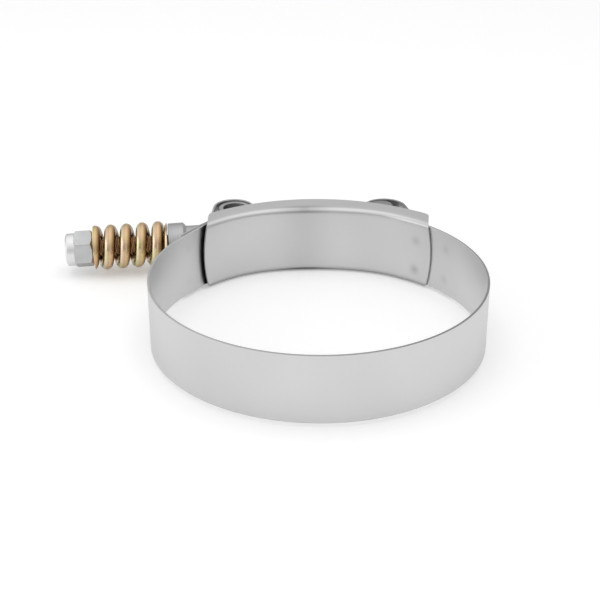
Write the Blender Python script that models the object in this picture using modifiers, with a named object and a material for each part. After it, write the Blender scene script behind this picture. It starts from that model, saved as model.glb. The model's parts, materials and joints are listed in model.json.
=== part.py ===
"""T bolt clamp with a spring-loaded bolt, lying on its side.

Metres, +Z up. The ring's axis is vertical, the gap with its bolt is at the back (+Y) and the nut is on the
left (-X). Everything is laid out about the ring's centre, and the origin empty then puts the middle of the
clamp's footprint at the world's origin.
"""

import math
from dataclasses import dataclass

import bmesh
import bpy
from mathutils import Matrix, Vector

MM = 0.001

# Band
BAND_WIDTH = 19.05 * MM
BAND_THICKNESS = 0.65 * MM
BAND_OUTER_RADIUS = 46.1 * MM
BAND_EDGE_BEVEL = 0.12 * MM
LOOP_NARROWING = 1.325 * MM
SEAM_GAP = 0.3 * MM
WINDOW_CORNER_RADIUS = 2.0 * MM
WINDOW_CORNER_STEPS = 3
BAND_MID_RADIUS = BAND_OUTER_RADIUS - BAND_THICKNESS / 2

# Loops
HEAD_WINDOW_MARGIN = 1.8 * MM
TRUNNION_WINDOW_MARGIN = 2.3 * MM

# Clearances
FIT_GAP = 0.3 * MM
RUNNING_GAP = 0.3 * MM
FLANGE_GAP = 0.2 * MM

# Bridge
BRIDGE_THICKNESS = 0.5 * MM
BRIDGE_FLANGE_DEPTH = 6.1 * MM
BRIDGE_BEND_RADIUS = 1.05 * MM
BRIDGE_HALF_SPAN = 32.2 * MM
BRIDGE_END_BULGE = 1.0 * MM
BRIDGE_CORNER_RADIUS = 0.9 * MM
BRIDGE_PRESS = 1.3 * MM
BRIDGE_PRESS_HALF_ANGLE = math.radians(34)
BRIDGE_SPAN_STEPS = 26
BRIDGE_WEB_STEPS = 8

# T bolt
BOLT_RADIUS = 3.0 * MM
BOLT_END_CHAMFER = 0.5 * MM
BOLT_END_RECESS = 0.6 * MM
HEAD_RADIUS = 4.0 * MM
HEAD_LENGTH = 15.0 * MM
HEAD_PLAY = 2.0 * MM
HEAD_CHAMFER = 0.6 * MM
HEAD_BEARING_ANGLE = math.radians(146)
HEAD_RISE = 0.95 * MM
TRUNNION_DROP = 0.8 * MM

# Trunnion
TRUNNION_RADIUS = 4.75 * MM
TRUNNION_WALL = 1.2 * MM
TRUNNION_PLAY = 0.7 * MM
TRUNNION_INSET = 0.325 * MM
TRUNNION_CHAMFER = 0.25 * MM
TRUNNION_HOLE_TILT_ROOM = 1.2 * MM
TRUNNION_HOLE_FLAT = 0.13 * MM
TRUNNION_HOLE_STEPS = 5
TRUNNION_LENGTH = BAND_WIDTH - 2 * TRUNNION_INSET

# Spring seat
SEAT_COLLAR_RADIUS = 5.85 * MM
SEAT_COLLAR_LENGTH = 5.6 * MM
SEAT_COLLAR_CHAMFER = 0.95 * MM
SEAT_COLLAR_EDGE = 0.35 * MM
SEAT_NECK_RADIUS = 4.75 * MM
SEAT_NECK_LENGTH = 6.9 * MM
SEAT_PILOT_RADIUS = 4.0 * MM
SEAT_REACH = 20.3 * MM

# Spring
SPRING_LENGTH = 22.2 * MM
SPRING_OUTER_RADIUS = 6.8 * MM
SPRING_WIRE_DIAMETER = 3.45 * MM
SPRING_PITCH = 4.75 * MM
SPRING_NUT_END_PITCH = 4.3 * MM
SPRING_NUT_END_TURNS = 0.75
SPRING_SEAT_END_PITCH = 3.75 * MM
SPRING_SEAT_END_TURNS = 1.0
SPRING_TIP_OVERRUN = 0.35 * MM
SPRING_TIP_ANGLE = math.radians(200)
SPRING_STEPS_PER_TURN = 20

# Lock nut
NUT_ACROSS_FLATS = 10.0 * MM
NUT_HEX_LENGTH = 5.6 * MM
NUT_COLLAR_LENGTH = 2.6 * MM
NUT_COLLAR_RADIUS = 4.92 * MM
NUT_COLLAR_WALL = 0.4 * MM
NUT_COLLAR_LIP = 0.45 * MM
NUT_COLLAR_ROUND = 0.8 * MM
NUT_FACE_RADIUS = 4.85 * MM
NUT_CHAMFER_ANGLE = math.radians(38)
NUT_TURN = math.radians(-24)
INSERT_LENGTH = 1.6 * MM

# Facets and construction
RING_STEP = math.radians(4)
LOOP_STEP = math.radians(11)
BEND_STEP = math.radians(22.5)
ROUND_STEPS = 40
MERGE_DISTANCE = 0.01 * MM
SMOOTH_ANGLE = math.radians(30)
FILLET_TRIES = 4
FILLET_FIRST_GUESS = math.radians(20)
CUTTER_OVERRUN = 1.0 * MM
EMPTY_SIZE = 5.0 * MM


@dataclass(frozen=True)
class BandEnd:
    """One half of the band, as it lies on the right: its flare, its loop and its tail. Angles from +X."""

    flare: float
    flare_from: float
    flare_to: float
    loop_direction: float
    loop_radius: float
    lean: float
    fillet: float
    tail_end: float
    loop_width: float
    window_height: float
    window_low: float
    window_left: float
    window_right: float


HEAD_END = BandEnd(
    flare=1.85 * MM,
    flare_from=math.radians(57),
    flare_to=math.radians(67),
    loop_direction=math.radians(67.6),
    loop_radius=HEAD_RADIUS + HEAD_PLAY + BAND_THICKNESS / 2,
    lean=math.radians(14),
    fillet=5.0 * MM,
    tail_end=math.radians(32),
    loop_width=BAND_WIDTH - 2 * LOOP_NARROWING,
    window_height=2 * (BOLT_RADIUS + HEAD_WINDOW_MARGIN),
    window_low=4.2 * MM,
    window_left=8.0 * MM,
    window_right=1.5 * MM,
)

TRUNNION_END = BandEnd(
    flare=1.4 * MM,
    flare_from=math.radians(38),
    flare_to=math.radians(58),
    loop_direction=math.radians(61.5),
    loop_radius=TRUNNION_RADIUS + TRUNNION_PLAY + BAND_THICKNESS / 2,
    lean=math.radians(4),
    fillet=4.0 * MM,
    tail_end=math.radians(32),
    loop_width=BAND_WIDTH,
    window_height=2 * (BOLT_RADIUS + TRUNNION_WINDOW_MARGIN),
    window_low=4.5 * MM,
    window_left=8.0 * MM,
    window_right=8.0 * MM,
)


def clear_scene():
    for obj in list(bpy.data.objects):
        bpy.data.objects.remove(obj)


def make_collection(name):
    collection = bpy.data.collections.new(name)
    bpy.context.scene.collection.children.link(collection)
    return collection


def make_material(name, colour, metallic, roughness):
    material = bpy.data.materials.new(name)
    material.use_nodes = True
    shader = material.node_tree.nodes["Principled BSDF"]
    shader.inputs["Base Color"].default_value = (*colour, 1.0)
    shader.inputs["Metallic"].default_value = metallic
    shader.inputs["Roughness"].default_value = roughness
    return material


def make_empty(name, collection, parent=None, matrix=None):
    empty = bpy.data.objects.new(name, None)
    empty.empty_display_size = EMPTY_SIZE
    empty.parent = parent
    if matrix is not None:
        empty.matrix_local = matrix
    collection.objects.link(empty)
    return empty


def make_object(name, mesh, collection, parent, material=None):
    mesh.shade_smooth()
    mesh.set_sharp_from_angle(angle=SMOOTH_ANGLE)
    obj = bpy.data.objects.new(name, mesh)
    obj.parent = parent
    collection.objects.link(obj)
    if material:
        mesh.materials.append(material)
    return obj


def make_cutter(name, mesh, collection, parent):
    cutter = make_object(name, mesh, collection, parent)
    cutter.hide_render = True
    cutter.display_type = "WIRE"
    return cutter


def add_boolean(obj, cutter, operation):
    modifier = obj.modifiers.new(f"{operation.lower()} {cutter.name}", "BOOLEAN")
    modifier.object = cutter
    modifier.operation = operation
    modifier.solver = "EXACT"


def add_bevel(obj, width):
    modifier = obj.modifiers.new("rounded edges", "BEVEL")
    modifier.width = width
    modifier.segments = 1
    modifier.limit_method = "ANGLE"
    modifier.angle_limit = SMOOTH_ANGLE
    modifier.use_clamp_overlap = True


def add_thickness(obj, thickness):
    modifier = obj.modifiers.new("sheet thickness", "SOLIDIFY")
    modifier.thickness = thickness
    modifier.offset = 0.0
    modifier.use_even_offset = True


def turned_mesh(name, profile, closed):
    """An edge chain of (radius, height) points for a Screw modifier, listed down the outer side."""
    mesh = bpy.data.meshes.new(name)
    bm = bmesh.new()
    verts = [bm.verts.new((radius, 0.0, height)) for radius, height in profile]
    for first, second in zip(verts, verts[1:]):
        bm.edges.new((first, second))
    if closed:
        bm.edges.new((verts[-1], verts[0]))
    bm.to_mesh(mesh)
    bm.free()
    return mesh


def add_turning(obj):
    modifier = obj.modifiers.new("turned", "SCREW")
    modifier.axis = "Z"
    modifier.angle = math.tau
    modifier.steps = ROUND_STEPS
    modifier.render_steps = ROUND_STEPS
    modifier.use_merge_vertices = True
    modifier.merge_threshold = MERGE_DISTANCE
    modifier.use_smooth_shade = True


def polar(radius, angle):
    return Vector((radius * math.cos(angle), radius * math.sin(angle)))


def steps_between(start, end, step):
    """Evenly spaced values from start to end, both included, about a step apart."""
    count = max(1, round(abs(end - start) / step))
    return [start + (end - start) * index / count for index in range(count + 1)]


def arc(centre, radius, start, end, step):
    return [centre + polar(radius, angle) for angle in steps_between(start, end, step)]


def smooth_step(value):
    value = min(max(value, 0.0), 1.0)
    return value * value * (3 - 2 * value)


def flare_share(end, angle):
    """How much of its flare the band has reached at this angle, from 0 on the round to 1 under the loop."""
    return smooth_step((angle - end.flare_from) / (end.flare_to - end.flare_from))


def ring_radius(end, angle):
    """Mid-surface radius of the band on this side, sprung outwards towards its loop."""
    return BAND_MID_RADIUS + end.flare * flare_share(end, angle)


def tail_radius(end, angle):
    """Mid-surface radius of the folded tail, which lies on the band's outside."""
    return ring_radius(end, angle) + BAND_THICKNESS + SEAM_GAP


def loop_centre(end):
    """Centre of the loop, which leaves the ring along a common tangent."""
    return polar(ring_radius(end, end.loop_direction) + end.loop_radius, end.loop_direction)


def foot_of_loop(end, top):
    """Centre of the fillet that leads from the loop's straight side to the tail, and its angle on the ring."""
    heading = Vector((math.sin(end.lean), -math.cos(end.lean)))
    outward = Vector((math.cos(end.lean), math.sin(end.lean)))
    start = top + end.fillet * outward
    landing = end.loop_direction - FILLET_FIRST_GUESS
    for _ in range(FILLET_TRIES):
        reach = tail_radius(end, landing) + end.fillet
        along = -start.dot(heading) - math.sqrt(start.dot(heading) ** 2 - start.length_squared + reach**2)
        centre = start + along * heading
        landing = math.atan2(centre.y, centre.x)
    return centre, landing


def half_band(end):
    """(point, width) along half of the band, from the front, up the right side, round its loop to its tail."""
    front = -math.pi / 2
    ring = []
    for angle in steps_between(front, end.loop_direction, RING_STEP):
        width = BAND_WIDTH + (end.loop_width - BAND_WIDTH) * flare_share(end, angle)
        ring.append((polar(ring_radius(end, angle), angle), width))
    loop = arc(loop_centre(end), end.loop_radius, end.loop_direction + math.pi, end.lean, LOOP_STEP)
    centre, landing = foot_of_loop(end, loop[-1])
    fillet = arc(centre, end.fillet, math.pi + end.lean, math.pi + landing, LOOP_STEP)
    tail = [polar(tail_radius(end, angle), angle) for angle in steps_between(landing, end.tail_end, RING_STEP)]
    folded = loop[1:] + fillet + tail[1:]
    return ring + [(point, end.loop_width) for point in folded]


def band_outline():
    """(point, width) along the whole strip, from the trunnion's tail round the front to the head's tail."""
    left = [(Vector((-point.x, point.y)), width) for point, width in half_band(TRUNNION_END)]
    return left[:0:-1] + half_band(HEAD_END)


def head_centre():
    """Middle of the T head's barrel, pulled against the back left of its loop."""
    inner_radius = HEAD_END.loop_radius - BAND_THICKNESS / 2
    tilt = HEAD_LENGTH / 2 * math.sin(bolt_droop())
    plan = loop_centre(HEAD_END) + polar(inner_radius - HEAD_RADIUS - FIT_GAP - tilt, HEAD_BEARING_ANGLE)
    return Vector((plan.x, plan.y, HEAD_RISE))


def trunnion_centre():
    """Middle of the trunnion, pushed by the spring against the right of its loop."""
    plan = loop_centre(TRUNNION_END)
    play = TRUNNION_END.loop_radius - BAND_THICKNESS / 2 - TRUNNION_RADIUS - FIT_GAP
    return Vector((-plan.x + play, plan.y, 0.0))


def bolt_droop():
    """How far the bolt hangs below level towards its nut, over the distance between the two loops."""
    gap = loop_centre(HEAD_END).x + loop_centre(TRUNNION_END).x
    return math.atan((HEAD_RISE + TRUNNION_DROP) / gap)


def bolt_yaw():
    """The bolt's direction in plan, from the trunnion to the T head."""
    gap = head_centre() - trunnion_centre()
    return math.atan2(gap.y, gap.x)


def bolt_line():
    """The T head's middle, the direction from there to the nut and the distance to the trunnion's axis."""
    head = head_centre()
    through = trunnion_centre() - Vector((0.0, 0.0, TRUNNION_DROP))
    return head, (through - head).normalized(), (through - head).length


def bolt_matrix():
    """The bolt's own frame: +Z towards the nut, +X up along the T head's barrel."""
    head, along, _ = bolt_line()
    up = (Vector((0, 0, 1)) - along.z * along).normalized()
    side = along.cross(up)
    rotation = Matrix((up, side, along)).transposed()
    return Matrix.Translation(head) @ rotation.to_4x4()


def seat_start():
    """Where the spring seat's pilot meets the trunnion, along the bolt."""
    _, along, reach = bolt_line()
    end_tilt = SEAT_PILOT_RADIUS * abs(along.z)
    return reach + TRUNNION_RADIUS + FIT_GAP + end_tilt


def seat_end():
    return bolt_line()[2] + SEAT_REACH


def spring_start():
    return seat_end() + FIT_GAP


def nut_start():
    return spring_start() + SPRING_LENGTH + FIT_GAP


def nut_end():
    return nut_start() + NUT_HEX_LENGTH + NUT_COLLAR_LENGTH


def build_band(parts, cutters, origin, material):
    """The strip stands on edge along its outline and is cut by a window in each loop, in line with the bolt."""
    mesh = bpy.data.meshes.new("band")
    bm = bmesh.new()
    outline = band_outline()
    lower = [bm.verts.new((point.x, point.y, -width / 2)) for point, width in outline]
    edges = [bm.edges.new(pair) for pair in zip(lower, lower[1:])]
    raised = bmesh.ops.extrude_edge_only(bm, edges=edges)["geom"]
    for vert in (item for item in raised if isinstance(item, bmesh.types.BMVert)):
        vert.co.z = -vert.co.z
    bm.to_mesh(mesh)
    bm.free()
    band = make_object("band", mesh, parts, origin, material)
    add_thickness(band, BAND_THICKNESS)
    add_bevel(band, BAND_EDGE_BEVEL)
    for name, end, side in (("head_window", HEAD_END, 1), ("trunnion_window", TRUNNION_END, -1)):
        add_boolean(band, loop_window(name, end, side, cutters, origin), "DIFFERENCE")
    return band


def loop_window(name, end, side, cutters, origin):
    """A rounded block that cuts the slot for the bolt through the walls of a loop."""
    centre = loop_centre(end)
    low = centre.y - end.window_low
    high = centre.y + end.loop_radius + BAND_THICKNESS + WINDOW_CORNER_RADIUS
    size = Vector((end.window_left + end.window_right, high - low, end.window_height))
    middle = Vector((centre.x + (end.window_right - end.window_left) / 2, (low + high) / 2, 0.0))
    mesh = bpy.data.meshes.new(name)
    bm = bmesh.new()
    bmesh.ops.create_cube(bm, size=1.0, matrix=Matrix.Diagonal((*size, 1.0)))
    bmesh.ops.bevel(
        bm,
        geom=bm.edges[:],
        offset=WINDOW_CORNER_RADIUS,
        segments=WINDOW_CORNER_STEPS,
        profile=0.5,
        affect="EDGES",
    )
    bm.to_mesh(mesh)
    bm.free()
    cutter = make_cutter(name, mesh, cutters, origin)
    cutter.location = (side * middle.x, middle.y, 0.0)
    cutter.rotation_euler = (0.0, 0.0, bolt_yaw())
    return cutter


def bridge_section():
    """(depth, height) along the channel's mid-surface, from the upper flange down to the lower one."""
    depth = BRIDGE_FLANGE_DEPTH
    height = bridge_half_height() - BRIDGE_THICKNESS / 2
    bend = BRIDGE_BEND_RADIUS
    corner = BRIDGE_CORNER_RADIUS
    turns = steps_between(0.0, math.pi / 2, BEND_STEP)
    flange = [(depth - corner * (1 - math.cos(turn)), height) for turn in turns]
    bending = arc(Vector((bend, height - bend)), bend, math.pi / 2, math.pi, BEND_STEP)
    web = [(0.0, up) for up in steps_between(height - bend, bend - height, 2 * height / BRIDGE_WEB_STEPS)]
    upper = flange + [(point.x, point.y) for point in bending]
    return upper + web[1:-1] + [(across, -up) for across, up in reversed(upper)]


def bridge_web_radius():
    """Mid-surface radius of the web, which lies against the band's inside at its welded end."""
    return BAND_OUTER_RADIUS - BAND_THICKNESS - FIT_GAP - BRIDGE_THICKNESS / 2


def bridge_half_height():
    return BAND_WIDTH / 2 + FLANGE_GAP + BRIDGE_THICKNESS


def bridge_half_length(depth, height):
    """Half the channel's span at this height and depth: bulging at the web, round at the flanges."""
    bulge = BRIDGE_END_BULGE * (1 - (height / bridge_half_height()) ** 2)
    inset = max(0.0, depth - (BRIDGE_FLANGE_DEPTH - BRIDGE_CORNER_RADIUS))
    corner = BRIDGE_CORNER_RADIUS - math.sqrt(max(0.0, BRIDGE_CORNER_RADIUS**2 - inset**2))
    return BRIDGE_HALF_SPAN + bulge - corner


def bridge_point(section_point, share):
    """A point of the curved channel: share runs from -1 at its right end to 1 at its left end."""
    depth, height = section_point
    radius = bridge_web_radius() + depth
    turn = share * math.asin(bridge_half_length(depth, height) / radius)
    pressed = 0.0
    if abs(turn) < BRIDGE_PRESS_HALF_ANGLE:
        pressed = BRIDGE_PRESS * math.cos(math.pi / 2 * turn / BRIDGE_PRESS_HALF_ANGLE) ** 2
    web_share = 1 - depth / BRIDGE_FLANGE_DEPTH
    point = polar(radius - pressed * web_share, math.pi / 2 + turn)
    return Vector((point.x, point.y, height))


def build_bridge(parts, origin, material):
    """A flat grid bent into the curved channel, then given its sheet thickness."""
    section = bridge_section()
    last = len(section) - 1
    mesh = bpy.data.meshes.new("bridge")
    bm = bmesh.new()
    bmesh.ops.create_grid(bm, x_segments=BRIDGE_SPAN_STEPS, y_segments=last, size=1.0)
    for vert in bm.verts:
        row = round((1 - vert.co.y) / 2 * last)
        vert.co = bridge_point(section[row], vert.co.x)
    bm.to_mesh(mesh)
    bm.free()
    bridge = make_object("bridge", mesh, parts, origin, material)
    add_thickness(bridge, BRIDGE_THICKNESS)
    return bridge


def build_trunnion(parts, cutters, origin, material):
    """A tube that stands in the left loop, with a tall cross hole that faces along the bolt."""
    half = TRUNNION_LENGTH / 2
    inner = TRUNNION_RADIUS - TRUNNION_WALL
    chamfer = TRUNNION_CHAMFER
    profile = [
        (inner + chamfer, half),
        (TRUNNION_RADIUS - chamfer, half),
        (TRUNNION_RADIUS, half - chamfer),
        (TRUNNION_RADIUS, chamfer - half),
        (TRUNNION_RADIUS - chamfer, -half),
        (inner + chamfer, -half),
        (inner, chamfer - half),
        (inner, half - chamfer),
    ]
    trunnion = make_object("trunnion", turned_mesh("trunnion", profile, True), parts, origin, material)
    trunnion.location = trunnion_centre()
    add_turning(trunnion)
    width = 2 * (BOLT_RADIUS + RUNNING_GAP)
    length = 2 * (TRUNNION_RADIUS + width)
    mesh = bpy.data.meshes.new("trunnion_hole")
    bm = bmesh.new()
    size = Matrix.Diagonal((length, width, width + 2 * TRUNNION_HOLE_TILT_ROOM, 1.0))
    bmesh.ops.create_cube(bm, size=1.0, matrix=size)
    along = [edge for edge in bm.edges if abs(edge.verts[0].co.x - edge.verts[1].co.x) > width]
    bmesh.ops.bevel(
        bm,
        geom=along,
        offset=width / 2 - TRUNNION_HOLE_FLAT,
        segments=TRUNNION_HOLE_STEPS,
        profile=0.5,
        affect="EDGES",
    )
    bm.to_mesh(mesh)
    bm.free()
    hole = make_cutter("trunnion_hole", mesh, cutters, origin)
    hole.location = trunnion_centre()
    hole.rotation_euler = (0.0, 0.0, bolt_yaw())
    add_boolean(trunnion, hole, "DIFFERENCE")
    return trunnion


def build_t_bolt(parts, cutters, bolt_frame, material):
    """A round shank joined to a barrel that lies across it."""
    end = nut_end() - BOLT_END_RECESS
    profile = [
        (0.0, end),
        (BOLT_RADIUS - BOLT_END_CHAMFER, end),
        (BOLT_RADIUS, end - BOLT_END_CHAMFER),
        (BOLT_RADIUS, 0.0),
        (0.0, 0.0),
    ]
    bolt = make_object("t_bolt", turned_mesh("t_bolt", profile, False), parts, bolt_frame, material)
    add_turning(bolt)
    half = HEAD_LENGTH / 2
    barrel_profile = [
        (0.0, half),
        (HEAD_RADIUS - HEAD_CHAMFER, half),
        (HEAD_RADIUS, half - HEAD_CHAMFER),
        (HEAD_RADIUS, HEAD_CHAMFER - half),
        (HEAD_RADIUS - HEAD_CHAMFER, -half),
        (0.0, -half),
    ]
    barrel = make_cutter("t_head_barrel", turned_mesh("t_head_barrel", barrel_profile, False), cutters, bolt_frame)
    barrel.rotation_euler = (0.0, math.pi / 2, 0.0)
    add_turning(barrel)
    add_boolean(bolt, barrel, "UNION")
    return bolt


def build_spring_seat(parts, bolt_frame, material):
    """A stepped sleeve: pilot against the trunnion, neck, and the collar that carries the spring."""
    bore = BOLT_RADIUS + RUNNING_GAP
    start = seat_start()
    end = seat_end()
    neck_end = end - SEAT_COLLAR_LENGTH
    neck_start = neck_end - SEAT_NECK_LENGTH
    edge = SEAT_COLLAR_EDGE
    profile = [
        (SEAT_COLLAR_RADIUS - edge, end),
        (SEAT_COLLAR_RADIUS, end - edge),
        (SEAT_COLLAR_RADIUS, neck_end + SEAT_COLLAR_CHAMFER),
        (SEAT_NECK_RADIUS, neck_end),
        (SEAT_NECK_RADIUS, neck_start),
        (SEAT_PILOT_RADIUS, neck_start),
        (SEAT_PILOT_RADIUS, start),
        (bore, start),
        (bore, end),
    ]
    seat = make_object("spring_seat", turned_mesh("spring_seat", profile, True), parts, bolt_frame, material)
    add_turning(seat)
    return seat


def spring_height(turn, turns):
    """How far the wire's centre has come after so many turns from the nut: both ends are wound closer."""
    near_nut = min(turn, SPRING_NUT_END_TURNS)
    near_seat = max(0.0, turn - (turns - SPRING_SEAT_END_TURNS))
    middle = turn - near_nut - near_seat
    return near_nut * SPRING_NUT_END_PITCH + middle * SPRING_PITCH + near_seat * SPRING_SEAT_END_PITCH


def spring_turns():
    """Turns that fill the spring's length with the wire's ends running out of both ground faces."""
    overrun = SPRING_WIRE_DIAMETER / 2 - SPRING_TIP_OVERRUN
    end_turns = SPRING_NUT_END_TURNS + SPRING_SEAT_END_TURNS
    end_rise = SPRING_NUT_END_TURNS * SPRING_NUT_END_PITCH + SPRING_SEAT_END_TURNS * SPRING_SEAT_END_PITCH
    return end_turns + (SPRING_LENGTH + 2 * overrun - end_rise) / SPRING_PITCH


def build_spring(parts, cutters, bolt_frame, material):
    """A left-hand coil of round wire whose two ends are ground flat."""
    turns = spring_turns()
    mean_radius = SPRING_OUTER_RADIUS - SPRING_WIRE_DIAMETER / 2
    start = spring_start()
    first = start - (SPRING_WIRE_DIAMETER / 2 - SPRING_TIP_OVERRUN)
    count = round(turns * SPRING_STEPS_PER_TURN)
    curve = bpy.data.curves.new("spring_wire", "CURVE")
    curve.dimensions = "3D"
    curve.bevel_depth = SPRING_WIRE_DIAMETER / 2
    curve.bevel_resolution = 2
    curve.use_fill_caps = True
    spline = curve.splines.new("POLY")
    spline.points.add(count)
    for index, point in enumerate(spline.points):
        turn = turns * index / count
        across = polar(mean_radius, SPRING_TIP_ANGLE + turn * math.tau)
        height = start + SPRING_LENGTH - (first - start) - spring_height(turn, turns)
        point.co = (across.x, across.y, height, 1.0)
    wire = bpy.data.objects.new("spring_wire", curve)
    bpy.context.scene.collection.objects.link(wire)
    evaluated = wire.evaluated_get(bpy.context.evaluated_depsgraph_get())
    mesh = bpy.data.meshes.new_from_object(evaluated)
    bpy.data.objects.remove(wire)
    bm = bmesh.new()
    bm.from_mesh(mesh)
    bmesh.ops.remove_doubles(bm, verts=bm.verts[:], dist=MERGE_DISTANCE)
    bmesh.ops.recalc_face_normals(bm, faces=bm.faces[:])
    bm.to_mesh(mesh)
    bm.free()
    mesh.name = "spring"
    spring = make_object("spring", mesh, parts, bolt_frame, material)
    envelope = 2 * SPRING_OUTER_RADIUS
    profile = [(0.0, start + SPRING_LENGTH), (envelope, start + SPRING_LENGTH), (envelope, start), (0.0, start)]
    grinding = make_cutter("spring_grinding", turned_mesh("spring_grinding", profile, False), cutters, bolt_frame)
    add_turning(grinding)
    add_boolean(spring, grinding, "INTERSECT")
    return spring


def build_lock_nut(parts, cutters, bolt_frame, material):
    """A chamfered hexagon joined to a round collar, bored for the bolt and recessed for its insert."""
    start = nut_start()
    shoulder = start + NUT_HEX_LENGTH
    end = nut_end()
    corner_radius = NUT_ACROSS_FLATS / 2 / math.cos(math.pi / 6)
    mesh = bpy.data.meshes.new("lock_nut")
    bm = bmesh.new()
    place = Matrix.Translation((0.0, 0.0, (start + shoulder) / 2)) @ Matrix.Rotation(NUT_TURN, 4, "Z")
    bmesh.ops.create_cone(
        bm,
        cap_ends=True,
        segments=6,
        radius1=corner_radius,
        radius2=corner_radius,
        depth=NUT_HEX_LENGTH + 2 * CUTTER_OVERRUN,
        matrix=place,
    )
    bm.to_mesh(mesh)
    bm.free()
    nut = make_object("lock_nut", mesh, parts, bolt_frame, material)

    outside = corner_radius + CUTTER_OVERRUN
    drop = (outside - NUT_FACE_RADIUS) * math.tan(NUT_CHAMFER_ANGLE)
    blank_profile = [
        (0.0, shoulder),
        (NUT_FACE_RADIUS, shoulder),
        (outside, shoulder - drop),
        (outside, start + drop),
        (NUT_FACE_RADIUS, start),
        (0.0, start),
    ]
    blank = make_cutter("nut_blank", turned_mesh("nut_blank", blank_profile, False), cutters, bolt_frame)
    add_turning(blank)
    add_boolean(nut, blank, "INTERSECT")

    centre = Vector((NUT_COLLAR_RADIUS - NUT_COLLAR_ROUND, end - NUT_COLLAR_ROUND))
    rounding = arc(centre, NUT_COLLAR_ROUND, math.pi / 2, 0.0, BEND_STEP)
    root = shoulder - NUT_HEX_LENGTH / 2
    collar_profile = [(0.0, end)] + [(point.x, point.y) for point in rounding]
    collar_profile += [(NUT_COLLAR_RADIUS, root), (0.0, root)]
    collar = make_cutter("nut_collar", turned_mesh("nut_collar", collar_profile, False), cutters, bolt_frame)
    add_turning(collar)
    add_boolean(nut, collar, "UNION")

    bore = BOLT_RADIUS + RUNNING_GAP
    recess = NUT_COLLAR_RADIUS - NUT_COLLAR_WALL
    mouth = end - NUT_COLLAR_LIP
    floor = mouth - INSERT_LENGTH - 2 * FIT_GAP
    opening = recess - NUT_COLLAR_LIP
    bore_profile = [
        (0.0, end + CUTTER_OVERRUN),
        (opening, end + CUTTER_OVERRUN),
        (opening, mouth),
        (recess, mouth),
        (recess, floor),
        (bore, floor),
        (bore, start - CUTTER_OVERRUN),
        (0.0, start - CUTTER_OVERRUN),
    ]
    cutter = make_cutter("nut_bore", turned_mesh("nut_bore", bore_profile, False), cutters, bolt_frame)
    add_turning(cutter)
    add_boolean(nut, cutter, "DIFFERENCE")
    return nut


def build_nylon_insert(parts, bolt_frame, material):
    """The ring that grips the thread, held in the collar's recess."""
    top = nut_end() - NUT_COLLAR_LIP - FIT_GAP
    bottom = top - INSERT_LENGTH
    inner = BOLT_RADIUS + RUNNING_GAP
    outer = NUT_COLLAR_RADIUS - NUT_COLLAR_WALL - FIT_GAP
    profile = [(outer, top), (outer, bottom), (inner, bottom), (inner, top)]
    insert = make_object("nylon_insert", turned_mesh("nylon_insert", profile, True), parts, bolt_frame, material)
    add_turning(insert)
    return insert


def stand_on_floor(origin, objects):
    """Moves the origin empty so that the middle of the clamp's footprint is the world's origin."""
    bpy.context.view_layer.update()
    depsgraph = bpy.context.evaluated_depsgraph_get()
    corners = []
    for obj in objects:
        evaluated = obj.evaluated_get(depsgraph)
        corners += [evaluated.matrix_world @ vert.co for vert in evaluated.data.vertices]
    low = Vector([min(corner[axis] for corner in corners) for axis in range(3)])
    high = Vector([max(corner[axis] for corner in corners) for axis in range(3)])
    origin.location -= Vector(((low.x + high.x) / 2, (low.y + high.y) / 2, low.z))
    bpy.context.view_layer.update()


def main():
    clear_scene()
    parts = make_collection("t_bolt_clamp")
    cutters = make_collection("cutters")
    steel = make_material("stainless strip", (0.60, 0.60, 0.61), 1.0, 0.32)
    sheet = make_material("stainless sheet", (0.64, 0.64, 0.65), 1.0, 0.30)
    turned = make_material("turned steel", (0.52, 0.53, 0.55), 1.0, 0.35)
    plated = make_material("zinc plate", (0.70, 0.72, 0.74), 1.0, 0.30)
    bolt_steel = make_material("bolt steel", (0.45, 0.45, 0.46), 1.0, 0.38)
    gilt = make_material("yellow chromate", (0.62, 0.45, 0.22), 1.0, 0.30)
    nylon = make_material("nylon", (0.75, 0.75, 0.72), 0.0, 0.45)

    origin = make_empty("clamp_origin", parts)
    bolt_frame = make_empty("bolt_axis", parts, origin, bolt_matrix())
    objects = [
        build_band(parts, cutters, origin, steel),
        build_bridge(parts, origin, sheet),
        build_trunnion(parts, cutters, origin, turned),
        build_t_bolt(parts, cutters, bolt_frame, bolt_steel),
        build_spring_seat(parts, bolt_frame, turned),
        build_spring(parts, cutters, bolt_frame, gilt),
        build_lock_nut(parts, cutters, bolt_frame, plated),
        build_nylon_insert(parts, bolt_frame, nylon),
    ]
    stand_on_floor(origin, objects)


main()
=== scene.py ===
# %% [markdown]
# # A spring-loaded T bolt clamp
# The clamp lies on its side on a white table. Its stainless band is closed by a T bolt, and a coil spring
# behind the nut keeps it tight. The imported model gives every place and size, so it is loaded first. Its
# plain solids could be dressed with materials alone, but thread, welds and rounded edges need geometry, so
# every piece is made anew in its place.

# %% Load the imported model
import json
import math
from collections import Counter

import bpy
from mathutils import Matrix, Vector


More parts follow.
